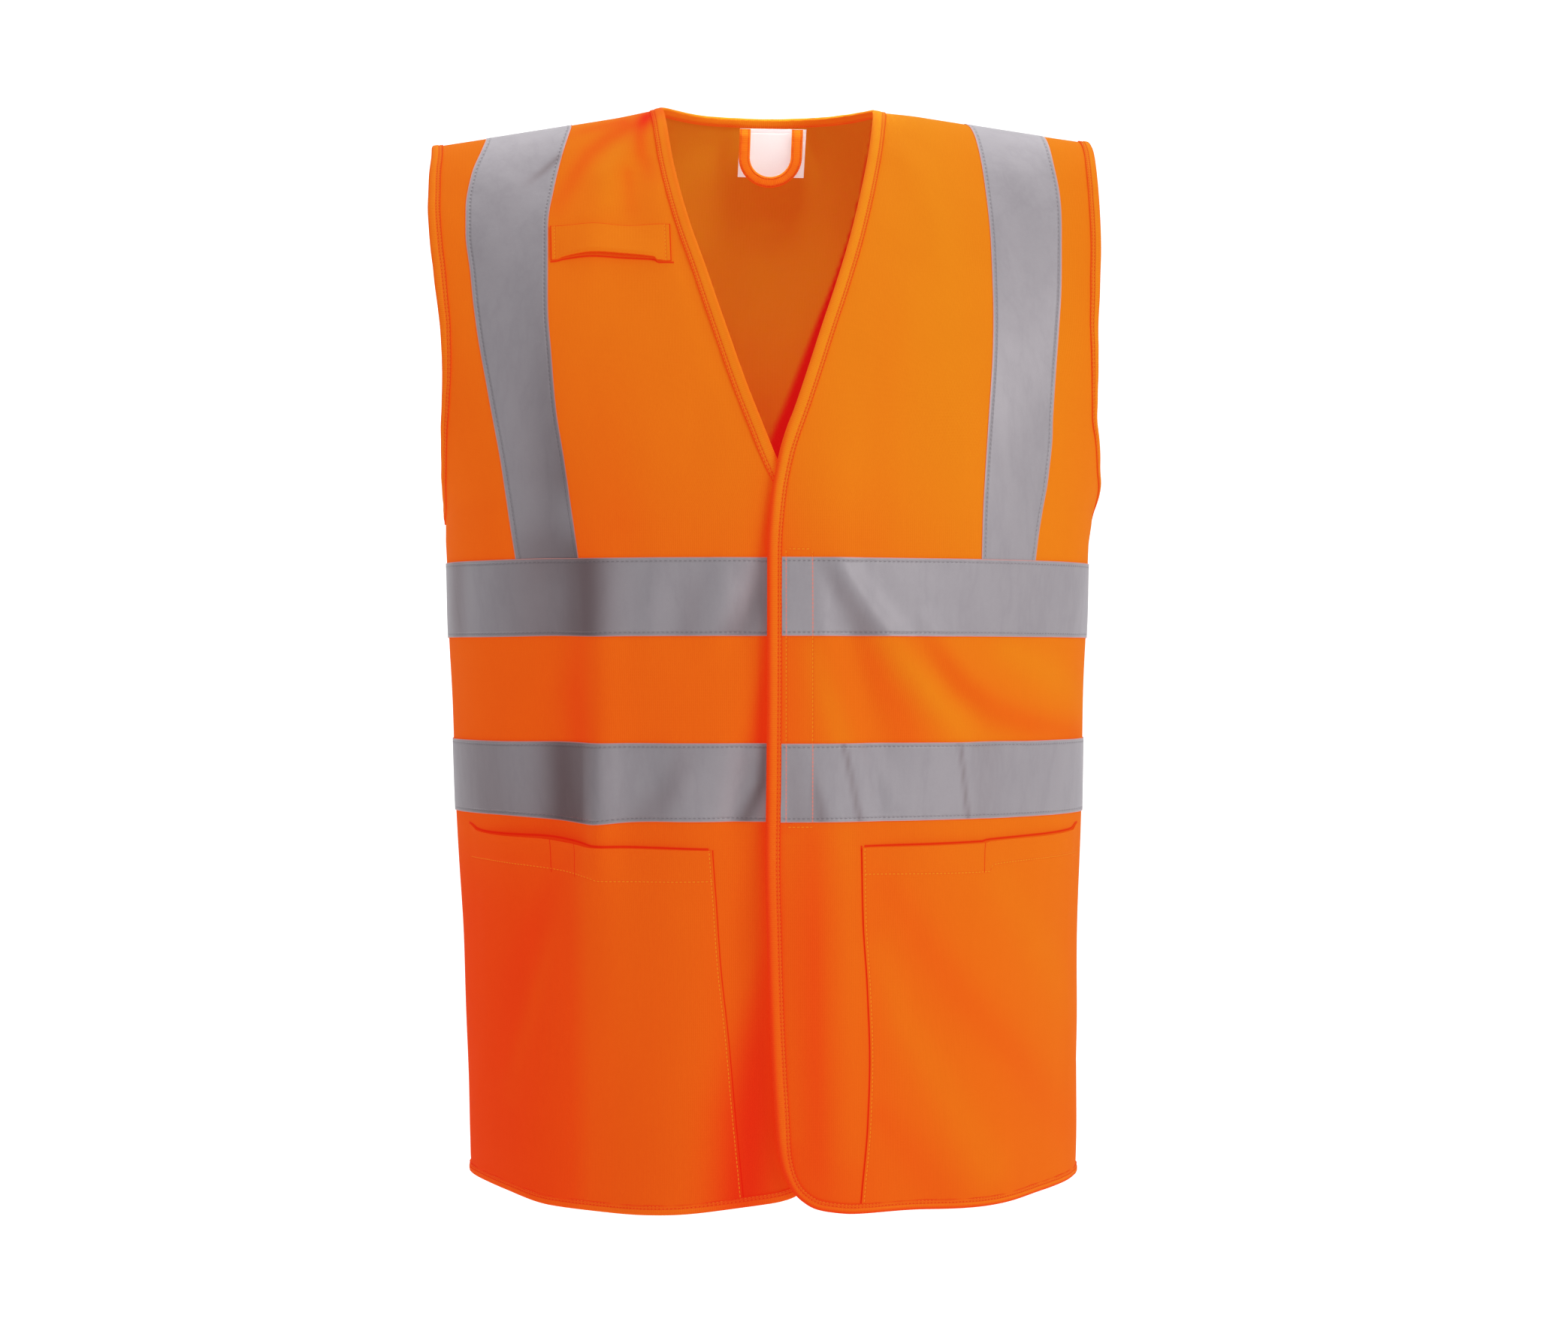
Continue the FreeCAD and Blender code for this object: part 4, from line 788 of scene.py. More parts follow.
def reflective(name):
    """Beaded tape: stitches inside its long edges, a pink rim and pink rows where pk is 0."""
    mat = Material(name)
    up = mat.uv()[1]
    along, rim = mat.attr("sl"), mat.attr("rim")
    beads = mat.noise(2600.0, detail=1.0)
    fine = mat.noise(420.0, detail=3.0, rough=0.6)
    slow = mat.noise(16.0, detail=3.0, rough=0.6)
    crease = mat.noise(30.0, detail=4.0, rough=0.65, stretch=(1.0, 1.0, 0.28))
    off = mat.math("ABSOLUTE", mat.math("SUBTRACT", crease, 0.5), 0.0)
    crease_shade = mat.math("SUBTRACT", 1.0, mat.math("MULTIPLY", off, 5.0, clamp=True))
    crease_shade = mat.math("POWER", crease_shade, 3.0)
    tone = mat.total((beads, 0.35), (fine, 0.35), (slow, 0.7))
    colour = mat.mix(mat.scaled(tone, 1.1, -0.25, clamp=True),
                     (0.325, 0.300, 0.330), (0.405, 0.378, 0.410))
    # painted shade along the creases of the crumpled tape
    colour = mat.mix(mat.mul(crease_shade, 0.16), colour, (0.22, 0.20, 0.23))
    # painted shade greys the tape where a point attribute says
    colour = mat.mix(mat.attr("painted_tape_shade"), colour, (0.138, 0.085, 0.092))
    thread, groove = mat.stitches(along, mat.math("SUBTRACT", rim, 2.4), 2.9,
                                  width=0.30, gap=0.30)
    colour = mat.mix(mat.mul(thread, 0.62), colour, (0.105, 0.085, 0.095))
    # painted shade in the grooves beside the stitches
    colour = mat.mix(mat.mul(mat.beside(groove, thread), 0.20), colour, (0.20, 0.17, 0.19))
    colour = mat.mix(mat.mul(mat.near(rim, 0.9), 0.62), colour, (0.80, 0.30, 0.26))
    row = mat.mul(mat.near(mat.attr("pk"), 0.62), mat.scaled(mat.wave(up, 2.5), 0.55, 0.45))
    colour = mat.mix(mat.mul(row, 0.92), colour, (0.92, 0.23, 0.16))
    height = mat.total((fine, 0.05), (beads, 0.02), (crease, 0.50), (slow, 1.3))
    height = mat.sewn(height, thread, groove, along, 2.9, raised=0.10, pucker=0.9, depth=0.32)
    return mat.shade(colour, rough=mat.scaled(fine, 0.18, 0.42), spec=0.35, height=height,
                     strength=0.75, sheen=0.10, sheen_tint=(0.9, 0.9, 1.0), metal=0.15)


def nap(name, scale, relief, rough, spec):
    """Fuzzy face of the hook or loop pad."""
    mat = Material(name)
    fuzz = mat.noise(scale, detail=4.0, rough=0.75)
    tone = mat.add(fuzz, mat.mul(mat.noise(60.0), 0.4))
    colour = mat.mix(mat.scaled(tone, 1.3, -0.4, clamp=True),
                     (0.28, 0.09, 0.006), (0.42, 0.17, 0.012))
    # the glow is partly the dye's real fluorescence and partly painted light
    return mat.shade(colour, rough=rough, spec=spec, height=mat.mul(fuzz, relief), sheen=0.3,
                     sheen_tint=(1.0, 0.6, 0.3), glow=(0.40, 0.008, 0.003))


def satin(name):
    """Woven label with a row of stitches where st is 0."""
    mat = Material(name)
    across, up = mat.uv()
    warp = mat.wave(across, 0.5)
    weft = mat.wave(mat.add(up, mat.mul(across, 0.5)), 0.7)
    slow = mat.noise(40.0)
    thread, groove = mat.stitches(mat.attr("sl"), mat.attr("st"), 2.6, width=0.28, gap=0.28)
    tone = mat.scaled(mat.add(mat.mul(warp, 0.4), slow), 0.9, -0.1, clamp=True)
    colour = mat.mix(tone, (0.57, 0.57, 0.57), (0.65, 0.67, 0.67))
    colour = mat.mix(mat.mul(thread, 0.5), colour, (0.95, 0.78, 0.70))
    height = mat.total((warp, 0.02), (weft, 0.02), (slow, 0.5), (groove, -0.2))
    # the glow is painted light that keeps the white label bright
    return mat.shade(colour, rough=0.42, spec=0.3, height=height, strength=0.6, sheen=0.1,
                     glow=(0.94, 0.90, 0.90), glow_strength=0.40, thin=0.06,
                     thin_colour=(0.9, 0.85, 0.8))


def overlock(name):
    """Zigzag thread over a raw seam edge."""
    mat = Material(name)
    along, across = mat.uv()
    zig = mat.wave(mat.add(along, mat.mul(mat.wave(across, 7.0), 2.0)), 1.5)
    fibre = mat.noise(1200.0, rough=0.6)
    tone = mat.scaled(mat.total((zig, 0.7), (fibre, 0.5)), 1.0, -0.1, clamp=True)
    colour = mat.mix(tone, (0.24, 0.06, 0.004), (0.42, 0.16, 0.014))
    # the glow is partly the dye's real fluorescence and partly painted light
    return mat.shade(colour, rough=0.85, spec=0.15, height=mat.total((zig, 0.35), (fibre, 0.08)),
                     sheen=0.2, sheen_tint=(1.0, 0.6, 0.3), glow=(0.36, 0.006, 0.002))


# each glow below is partly the dye's real fluorescence and partly painted light
KNIT_OUT = knit("knit_outside", base=(0.355, 0.360, 0.010), deep=(0.335, 0.304, 0.008),
                glow=(0.56, 0.008, 0.003))
KNIT_IN = knit("knit_inside", base=(0.34, 0.345, 0.013), deep=(0.31, 0.29, 0.011),
               glow=(0.37, 0.022, 0.004), stitched=False, reverse=True)
BINDING = ribbed("binding_rib", base=(0.38, 0.385, 0.013), deep=(0.33, 0.285, 0.009),
                 glow=(0.54, 0.010, 0.003))
BEADED = reflective("reflective_bead_tape")
BACKING = knit("tape_backing", base=(0.30, 0.13, 0.01), deep=(0.27, 0.10, 0.008),
               glow=(0.34, 0.010, 0.004), stitched=False)
HOOKS = nap("hook_side", scale=1100.0, relief=0.35, rough=0.7, spec=0.3)
LOOPS = nap("loop_side", scale=700.0, relief=0.6, rough=0.95, spec=0.1)
SATIN = satin("label_satin")
OVERLOCK = overlock("overlocked_seam")

# fabrics: colour slot, and materials of the outside and the inside
CLOTH = ("orange_fabric", [KNIT_OUT, KNIT_IN])
TAPE = ("reflective_tape", [BEADED, BACKING])
SEAM = ("orange_fabric", [OVERLOCK])


# ---------------------------------------------------------------- meshes
def mesh_of(name, verts, faces, uv, mats, index=None, attrs=None):
    """Object of four-cornered faces; verts and uv are in mm."""
    mesh = bpy.data.meshes.new(name)
    count = len(faces)
    mesh.vertices.add(len(verts))
    mesh.vertices.foreach_set("co", (verts * 0.001).astype(np.float32).ravel())
    mesh.loops.add(count * 4)
    mesh.loops.foreach_set("vertex_index", faces.astype(np.int32).ravel())
    mesh.polygons.add(count)
    mesh.polygons.foreach_set("loop_start", np.arange(0, count * 4, 4, dtype=np.int32))
    mesh.uv_layers.new(name="UVMap")
    mesh.update(calc_edges=True)
    corners = (uv[faces.ravel()] * 0.01).astype(np.float32)
    mesh.uv_layers["UVMap"].data.foreach_set("uv", corners.ravel())
    for key, value in (attrs or {}).items():
        layer = mesh.attributes.new(key, "FLOAT", "POINT")
        layer.data.foreach_set("value", np.asarray(value, np.float32).ravel())
    for mat in mats:
        mesh.materials.append(mat)
    if index is not None:
        mesh.polygons.foreach_set("material_index", index.astype(np.int32))
    mesh.polygons.foreach_set("use_smooth", np.ones(count, bool))
    mesh.validate()
    mesh.update()
    mesh.set_sharp_from_angle(angle=math.radians(55))
    return link(name, mesh)


def link(name, data):
    thing = bpy.data.objects.new(name, data)
    bpy.context.scene.collection.objects.link(thing)
    return thing


def slab(name, outer, inner, uv, mats, attrs=None, flip=False):
    """A thin closed piece between two point grids; mats are outside, inside."""
    rows, cols = outer.shape[:2]
    count = rows * cols
    ids = np.arange(count).reshape(rows, cols)
    top = np.stack([ids[:-1, :-1], ids[:-1, 1:], ids[1:, 1:], ids[1:, :-1]], -1).reshape(-1, 4)
    low = top[:, ::-1] + count
    rim = np.concatenate([
        np.stack([line[:-1], line[1:], line[1:] + count, line[:-1] + count], -1)
        for line in (ids[0, ::-1], ids[-1, :], ids[:, 0], ids[::-1, -1])])
    faces = np.concatenate([top, low, rim])
    if flip:
        faces = faces[:, ::-1]
    index = np.zeros(len(faces))
    index[len(top):len(top) + len(low)] = len(mats) > 1
    verts = np.concatenate([outer.reshape(-1, 3), inner.reshape(-1, 3)])
    doubled = {key: np.concatenate([v.ravel()] * 2) for key, v in (attrs or {}).items()}
    flat_uv = np.stack(uv, -1).reshape(-1, 2)
    return mesh_of(name, verts, faces, np.concatenate([flat_uv] * 2), mats, index, doubled)


def tube_faces(count, around, ring=False):
    """Faces of a closed profile swept over count stations, capped unless it is a ring."""
    ids = np.arange(count * around).reshape(count, around)
    rows = np.concatenate([ids, ids[:1]]) if ring else ids
    a, b = rows[:-1], rows[1:]
    faces = np.stack([a, np.roll(a, -1, 1), np.roll(b, -1, 1), b], -1).reshape(-1, 4)
    if ring:
        return faces
    caps = [[line[q], line[around - 1 - q], line[around - 2 - q], line[q + 1]]
            for line in (ids[0], ids[-1][::-1]) for q in range(around // 2 - 1)]
    return np.concatenate([faces, np.array(caps)])


def finish_piece(piece, nodes, side=0, body="shell"):
    """Hides the frame parts the piece replaces; a piece with no side rides its body, a front
    piece is baked in place.
    """
    if nodes:
        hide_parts(*nodes)
    if not side:
        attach(piece, body)
        return
    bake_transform(piece)


def sew(name, arc, z, under, over, fabric, nodes, side=0, uv=None, attrs=None, flip=False):
    """A piece on the draped surface, between the heights under and over."""
    slot, mats = fabric
    pts, out = surf(arc, z, side)
    inner, outer = (pts + out * np.broadcast_to(height, pts.shape[:2])[..., None]
                    for height in (under, over))
    piece = slab(name, outer, inner, uv or (arc, z), mats, attrs, flip)
    finish_piece(piece, nodes, side)


def panel_grid(arc_from, arc_to, low_of, high_of, columns):
    """Arc and z of a panel from hem to shoulder, with rows crowded at the armhole foot."""
    low = spread(0.0, ARM_Z, lambda z: np.minimum(3.2, 0.5 + 0.22 * (ARM_Z - z)))
    high = spread(ARM_Z, TOP_Z, lambda z: np.minimum(
        np.minimum(3.2, 0.5 + 0.22 * (z - ARM_Z)), 0.5 + 0.16 * (TOP_Z - z)))[1:]
    lower = np.arange(len(low) + len(high))[:, None] < len(low)
    row, col = grid(np.concatenate([low / ARM_Z, (high - ARM_Z) / (TOP_Z - ARM_Z)]), columns)
    z = np.full(col.shape, 300.0)
    for _ in range(14):
        start = arc_from(z)
        arc = start + (arc_to - start) * col
        x = locate(arc, z)[0]
        bottom, top = low_of(x), high_of(x)
        z = np.where(lower, bottom + (ARM_Z - bottom) * row, ARM_Z + (top - ARM_Z) * row)
    return arc, z


# ---------------------------------------------------------------- the fronts
def front_cloth(side):
    edge, pocket_in, mouth = FRONT_EDGE[side], POCKET_IN[side], MOUTH[side]
    arc, z = panel_grid(lambda z: arc_of(edge(z), z), side * SIDE_ARC, HEM[side],
                        shoulder_front, 101)
    x = locate(arc, z)[0]
    away = np.abs(x)
    # painted shadow lines: beside the pocket's inboard edge, just above its mouth, and on the
    # right front under the chest strap
    beside = (away - pocket_in(z) + 0.5) * (1.0 if side > 0 else 1.6)
    lines = {"ed": np.where(z < mouth(away) + 2, beside, NO_LINE),
             "eh": np.where((away > pocket_in(z)) & (away < 206), z - mouth(away) - 0.9,
                            NO_LINE)}
    if side > 0:
        # the stitched box of the closure
        lines["la"] = np.where((z > BOX_Z - BOX_HALF_H) & (z < BOX_Z + BOX_HALF_H),
                               np.abs(x - BOX_X) - BOX_HALF_W, NO_LINE)
        lines["lb"] = np.where((x > BOX_X - BOX_HALF_W) & (x < BOX_X + BOX_HALF_W),
                               np.abs(z - BOX_Z) - BOX_HALF_H, NO_LINE)
    else:
        # painted shadow under the strap's lower edge
        share = (x - STRAP_X) / STRAP_L
        strap = np.where((share > -0.02) & (share < 1.02), z - STRAP_LOW(share) + 0.9, NO_LINE)
        lines["eh"] = np.where(z > 450, strap, lines["eh"])
    tag = TAGS[side]
    sew(tag + "_front_cloth", arc, z, 0.0, CLOTH_T, CLOTH,
        [tag + "_front_panel", tag + "_front_side_panel"], side,
        attrs=marks(x, z, side, **lines), flip=side < 0)


def tape_rim(row, width=TAPE_W):
    return np.minimum(row, 1 - row) * width


def front_waist_tape(side, which):
    """Waist tape from under the edge binding to the side seam."""
    edge = FRONT_EDGE[side]
    row, col = grid(23, 111)
    z = TAPE_Z[which] + TAPE_W * row
    if side < 0 and which == "lower":
        x = locate(arc_of(edge(z), z) * (1 - col) + side * SIDE_ARC * col, z)[0]
        z = z + (1 - row) * (1.5 * ease((-x - 150) / 40) - 2.56 * bell(x + 128, 26.0))
    arc = arc_of(edge(z) + side * 5.5, z) * (1 - col) + side * SIDE_ARC * col
    x = locate(arc, z)[0]
    clear = ease((np.abs(x - edge(z)) - 5.6) / 3.6)      # 0 under the binding
    attrs = {"rim": tape_rim(row), "sl": arc,
             "pk": np.abs(x - BOX_X) - BOX_HALF_W if side > 0 else NO_LINE + 0 * x,
             "painted_tape_shade": painted_tape_shade(x, z, side)}
    tag = TAGS[side]
    sew("%s_front_%s_reflective_tape" % (tag, which), arc, z,
        CLOTH_T + 0.04 + 0.38 * clear, CLOTH_T + 0.14 + 0.68 * clear, TAPE,
        ["%s_front_%s_tape" % (tag, which)], side, (arc, TAPE_W * row), attrs, side < 0)


def brace_tapes(side):
    """Front and back parts of the upright tape, meeting on the shoulder line."""
    front_in, front_out = BRACE[side]
    stations = [416, 500, 620, 728]
    back_lines = (curve(stations, [118, 122, 130, front_in(720)]),
                  curve(stations, [168, 172, 181, front_out(712)]))
    crowded = np.concatenate([np.linspace(0, 0.05, 12), np.linspace(0.05, 1, 96)[1:]])
    row, col = grid(1 - crowded[::-1], 23)
    foot = TAPE_Z["upper"] + TAPE_W - 2.0
    for back, lines in ((False, (front_in, front_out)), (True, back_lines)):
        z = np.full(row.shape, 600.0)
        for _ in range(16):
            share = ease((z - 470.0) / 200.0) if back else 1.0
            near, far = (line(z) + side * share * edge_lean(line(z), z) for line in lines)
            x = near + (far - near) * col
            z = foot + (shoulder_front(x) - foot) * row
        width = far - near
        attrs = {"rim": tape_rim(col, width), "sl": z, "pk": NO_LINE + 0 * z,
                 "painted_tape_shade": 0 * z if back else painted_tape_shade(side * x, z, side)}
        sew("%s_brace_%s" % (TAGS[side], "back" if back else "front"),
            arc_of(side * x, z, back), z, CLOTH_T + 0.02, CLOTH_T + 0.40, TAPE,
            None if back else [TAGS[side] + "_brace_tape"], 0 if back else side,
            (z, col * width), attrs, (side < 0) != back)


def pocket(side):
    pocket_in, mouth, band = POCKET_IN[side], MOUTH[side], BAND[side]
    row, col = grid(np.concatenate([np.linspace(0, 0.84, 84), np.linspace(0.84, 1, 22)[1:]]), 91)
    z = np.full(col.shape, 120.0)
    for _ in range(14):
        arc = (arc_of(side * pocket_in(z), z) * (1 - col)
               + arc_of(side * POCKET_OUT(z), z) * col)
        x = locate(arc, z)[0]
        low = HEM[side](x) + HEM_BIND_W - 1.5
        z = low + (mouth(np.abs(x)) - low) * row
    away = np.abs(x)
    inset = ease((away - pocket_in(z)) / 30.0) * ease((POCKET_OUT(z) - away) / 24.0)
    rise = np.maximum((z - 70.0) / (mouth(away) - 70.0), 0.0)
    # how far the mouth stands open, the step or tab in its band, and painted shadow lines along
    # the band's creases
    if side > 0:
        gape = (1.6 * rise ** 2 + 1.2 * rise ** 3 * bell(away - 95, 34.0)
                + 0.8 * rise ** 4 * bell(away - 165, 16.0))
        crease_shadow = np.where(z > band(away) - 2, (away - 126) * 2.2, NO_LINE)
    else:
        gape = (2.0 * rise ** 2 + 4.4 * rise ** 4 * bell(away - 156, 24.0)
                - 0.8 * rise ** 3 * bell(away - 121, 7.0))
        crease_shadow = np.where(z > band(away) - 3, (np.abs(away - 144.0) - 8.0) * 2.2, NO_LINE)
    rim = ease((POCKET_OUT(z) - away) / 7.0)
    under = CLOTH_T + 0.06 + 0.19 * rim + inset * gape
    under = under + (0.1 + 0.15 * rim) * ease((z - band(away)) / 1.2)
    under = under + 0.5 * bell(mouth(away) - z - 0.8, 1.4)
    attrs = marks(x, z, side, la=away - pocket_in(z) - 1.5, lb=z - band(away), ed=crease_shadow)
    tag = TAGS[side]
    sew(tag + "_pocket_cloth", arc, z, under, under + 0.25 + (CLOTH_T - 0.25) * rim, CLOTH,
        [tag + "_front_pocket", tag + "_pocket_side"], side, attrs=attrs, flip=side < 0)


for side in TAGS:
    front_cloth(side)
    front_waist_tape(side, "upper")
    front_waist_tape(side, "lower")
    brace_tapes(side)
    pocket(side)


def closure_pad(name, x0, x1, under, over, side, mat, node):
    """A hook or loop strip with softened edges on its open face."""
    height = 180.0
    row, col = grid(91, 19)
    z = 243.0 + height * row
    arc = arc_of(x0 + (x1 - x0) * col, z)
    inset = np.minimum(tape_rim(col, x1 - x0), tape_rim(row, height))
    soften = 0.35 * ease(inset / 1.4) - 0.35
    if side > 0:
        under = under - soften
    else:
        over = over + soften
    sew(name, arc, z, under, over, ("hook_and_loop", [mat]), [node], side)


closure_pad("hook_pad", -5.0, 12.8, -1.15, -0.25, LEFT, HOOKS, "hook_strip")
closure_pad("loop_pad", -12.6, 5.8, CLOTH_T + 0.1, CLOTH_T + 1.2, RIGHT, LOOPS, "loop_strip")


def chest_strap():
    """Sewn down at both ends, standing off the cloth along its lower edge."""
    row, col = grid(np.concatenate([np.linspace(0, 0.16, 8), np.linspace(0.16, 1, 20)[1:]]), 81)
    low = STRAP_LOW(col)
    z = low + (STRAP_TOP - low) * row
    x = STRAP_X + STRAP_L * col
    arch = np.maximum(np.sin(np.pi * np.clip((col - 0.06) / 0.88, 0, 1)), 0) ** 0.7
    stand = CLOTH_T + 0.35 + arch * (0.8 + 3.6 * (1 - row) ** 1.3)
    stand = stand - 0.9 * bell(row * STRAP_W, 1.4) * arch      # the lower edge curls in
    # painted shadow lines along the strap's ends and under its lower edge
    attrs = marks(x, z, RIGHT,
                  la=np.minimum(col * STRAP_L - 2.6, (1 - col) * STRAP_L - 3.6),
                  ed=(tape_rim(col, STRAP_L) - 0.3) * 1.5,
                  eh=((1 - row) * STRAP_W - 0.3) * 5.0)
    # less painted shade on the strap, which stands out into the light
    attrs["red"] = attrs["red"] * 0.92
    sew("chest_strap_cloth", arc_of(x, z), z, stand, stand + CLOTH_T + 0.25, CLOTH,
        ["chest_strap"], RIGHT, attrs=attrs)


chest_strap()


# ---------------------------------------------------------------- the back
def seen(pts):
    """Slopes of the lines of sight from the camera, across and up."""
    sine, cosine = math.sin(VIEW_TURN), math.cos(VIEW_TURN)
    away, right = np.array([sine, -cosine, 0]), np.array([cosine, sine, 0])
    camera = (away * VIEW_DISTANCE + right * VIEW_OFFSET + [0, 0, VIEW_HEIGHT]) * 1000
    sight = pts - camera
    depth = sight @ -away
    return sight @ right / depth, sight[..., 2] / depth


def inside_red(arc, z):
    """Painted shadow inside the back, deep red, strongest beside the left neck edge as the camera
    sees it.
    """
    edge_z = np.linspace(440.0, 726.0, 200)
    edge_x = FRONT_EDGE[LEFT](edge_z)
    edge_across, edge_up = seen(surf(arc_of(edge_x, edge_z), edge_z, LEFT)[0])
    across, up = seen(surf(arc, z)[0])
    order = np.argsort(edge_up)
    reach = 2330      # mm from the camera at which the gap is measured
    gap = (np.interp(up, edge_up[order], edge_across[order]) - across) * reach
    # upward slope -> width of the shade in mm
    wide = np.interp(up, [0.057, 0.069, 0.094, 0.119, 0.136, 0.16],
                     [14.5, 12.5, 8.5, 4.2, 2.2, 1.2])
    red = 1 - ease((gap - 0.55 * wide) / (0.75 * wide))
    red = red * ease((up - 0.035) / 0.012) * ease((gap + 24) / 22.0)
    # and a milder painted shade inside the back, deeper lower down
    return np.maximum(red, 0.32 * ease((640 - z) / 150.0))


def back_cloth():
    arc, z = panel_grid(
        lambda z: SIDE_ARC + SEAM_GAP, FAR_SIDE - SEAM_GAP, BACK_HEM,
        lambda x: np.where(np.abs(x) >= NECK_X, shoulder_front(x), neck_back(x)), 181)
    seam = np.minimum(arc - SIDE_ARC, FAR_SIDE - arc)
    attrs = marks(locate(arc, z)[0], z, LEFT, True,
                  la=np.where(z < ARM_Z - 8, seam - 1.6, NO_LINE))
    # painted shadow inside the back
    attrs["inred"] = inside_red(arc, z)
    sew("back_cloth", arc, z, 0.0, CLOTH_T, CLOTH, ["back_panel"], attrs=attrs)


def back_waist_tape(which):
    row, col = grid(23, 201)
    arc = SIDE_ARC + SEAM_GAP + (FAR_SIDE - SIDE_ARC - 2 * SEAM_GAP) * col
    z = TAPE_Z[which] + TAPE_W * row
    if which == "lower":
        z = z + 1.5 * (1 - row) * ease((arc - FAR_SIDE + 30) / 30)
    attrs = {"rim": tape_rim(row), "sl": arc, "pk": NO_LINE + 0 * arc}
    sew("back_%s_reflective_tape" % which, arc, z, CLOTH_T + 0.42, CLOTH_T + 0.82, TAPE,
        [which + "_waist_tape"], uv=(arc, TAPE_W * row), attrs=attrs)


def seam_allowances(side):
    """Overlocked seams inside: the side seam, then the shoulder seam."""
    tag = TAGS[side]
    row, col = grid(141, 7)
    width = 8.4
    z = 10.0 + 430.0 * row
    sew(tag + "_side_seam_allowance", side * (SIDE_ARC + 0.6 + width * col), z,
        -1.3 - 0.35 * np.sin(z / 6.0) * col, -0.12, SEAM, [tag + "_side_seam"],
        uv=(z, col * width), flip=side > 0)
    width = 5.5
    x = side * (80.0 + 134.0 * row)
    z = shoulder_front(x) - 0.8 - width * col
    sew(tag + "_shoulder_seam_allowance", arc_of(x, z, True), z,
        -1.2 - 0.3 * np.sin(x / 5.0) * col, -0.12, SEAM, [tag + "_shoulder_seam"],
        uv=(x, col * width), flip=side < 0)


back_cloth()
for which in TAPE_Z:
    back_waist_tape(which)
for side in TAGS:
    seam_allowances(side)


# ---------------------------------------------------------------- bindings
# profile: share of the width and mm added, inward from the edge; height, height times bulge
BIND_PROFILE = np.array([
    (1, 0, 0.62, 0), (1, 0, 1.42, 0), (1, -0.30, 1.12, 0.52), (1, -0.75, 1.12, 0.24),
    (1, -1.20, 1.12, 0.46), (1, -1.8, 1.12, 0.55), (1, -2.35, 1.12, 0.20),
    (1, -2.9, 1.12, 0.60), (0.52, 0, 1.12, 0.85), (0.38, 0, 1.12, 0.92), (0.24, 0, 1.12, 0.90),
    (0.12, 0, 1.12, 0.92), (0, 0.15, 1.12, 0.65), (0, -0.42, 1.20, 0), (0, -0.80, 0.72, 0),
    (0, -0.92, 0.25, 0), (0, -0.80, -0.25, 0), (0, -0.42, -0.66, 0), (0, 0.2, -0.90, 0),
    (0.3, 0, -1.10, 0), (0.6, 0, -1.10, 0), (1, -1.8, -0.92, 0), (1, -0.9, -0.72, 0),
    (1, -0.3, -0.85, 0), (1, 0, -0.6, 0), (1, 0, -0.12, 0), (0.5, 0, -0.10, 0),
    (0, -0.25, -0.05, 0), (0, -0.25, 0.62, 0), (0.5, 0, 0.64, 0)])
STITCH_ROWS = (0.75, 2.35)      # distances from the inward edge of the strip
STRIP_STEPS = 14


def resample(arc, z):
    run = lengths_along(place(arc, z))
    even = np.linspace(0, run[-1], max(int(round(run[-1] / 1.6)), 4) + 1)
    return np.interp(even, run, arc), np.interp(even, run, z)


def smooth_rows(values, times):
    for _ in range(times):
        after = values.copy()
        after[1:-1] = (values[:-2] + 2 * values[1:-1] + values[2:]) / 4
        values = after
    return values


def smooth_ring(values):
    return (np.roll(values, 1, 0) + 2 * values + np.roll(values, -1, 0)) / 4


def strip(arc, z, away, width, sides, known, ring=False):
    """Surface points and outward directions at steps inward from the edge, and the inward
    direction at each station. away is the way arc may step without leaving the cloth; known is
    a station and a direction roughly inward there."""
    edge = place(arc, z)
    way = np.roll(edge, -1, 0) - np.roll(edge, 1, 0) if ring else np.gradient(edge, axis=0)
    inward = unit(np.cross(normal(arc, z), unit(way)))
    if inward[known[0]].dot(known[1]) < 0:
        inward = -inward
    step = inward * (np.broadcast_to(width, arc.shape) / STRIP_STEPS)[:, None]
    trail = [(arc, z)]
    for _ in range(STRIP_STEPS):
        pts = place(arc, z)
        by_arc = (place(arc + away * 0.8, z) - pts) * (away / 0.8)[:, None]
        by_z = (pts - place(arc, z - 0.8)) / 0.8
        # least-squares step in arc and z
        aa, az, zz = (by_arc * by_arc).sum(1), (by_arc * by_z).sum(1), (by_z * by_z).sum(1)
        to_arc, to_z = (by_arc * step).sum(1), (by_z * step).sum(1)
        det = np.maximum(aa * zz - az * az, 1e-9)
        arc = arc + (zz * to_arc - az * to_z) / det
        z = z + (aa * to_z - az * to_arc) / det
        z = np.minimum(z, ridge_at(*locate(arc, z)) - 0.02)
        trail.append((arc, z))
    arcs, zs = (np.stack(part, 1) for part in zip(*trail))
    pts, out = np.zeros(arcs.shape + (3,)), np.zeros(arcs.shape + (3,))
    sides = np.broadcast_to(sides, arc.shape)
    for side in (LEFT, RIGHT, 0):
        rows = sides == side
        if rows.any():
            pts[rows], out[rows] = surf(arcs[rows], zs[rows], side)
    return pts, out, inward


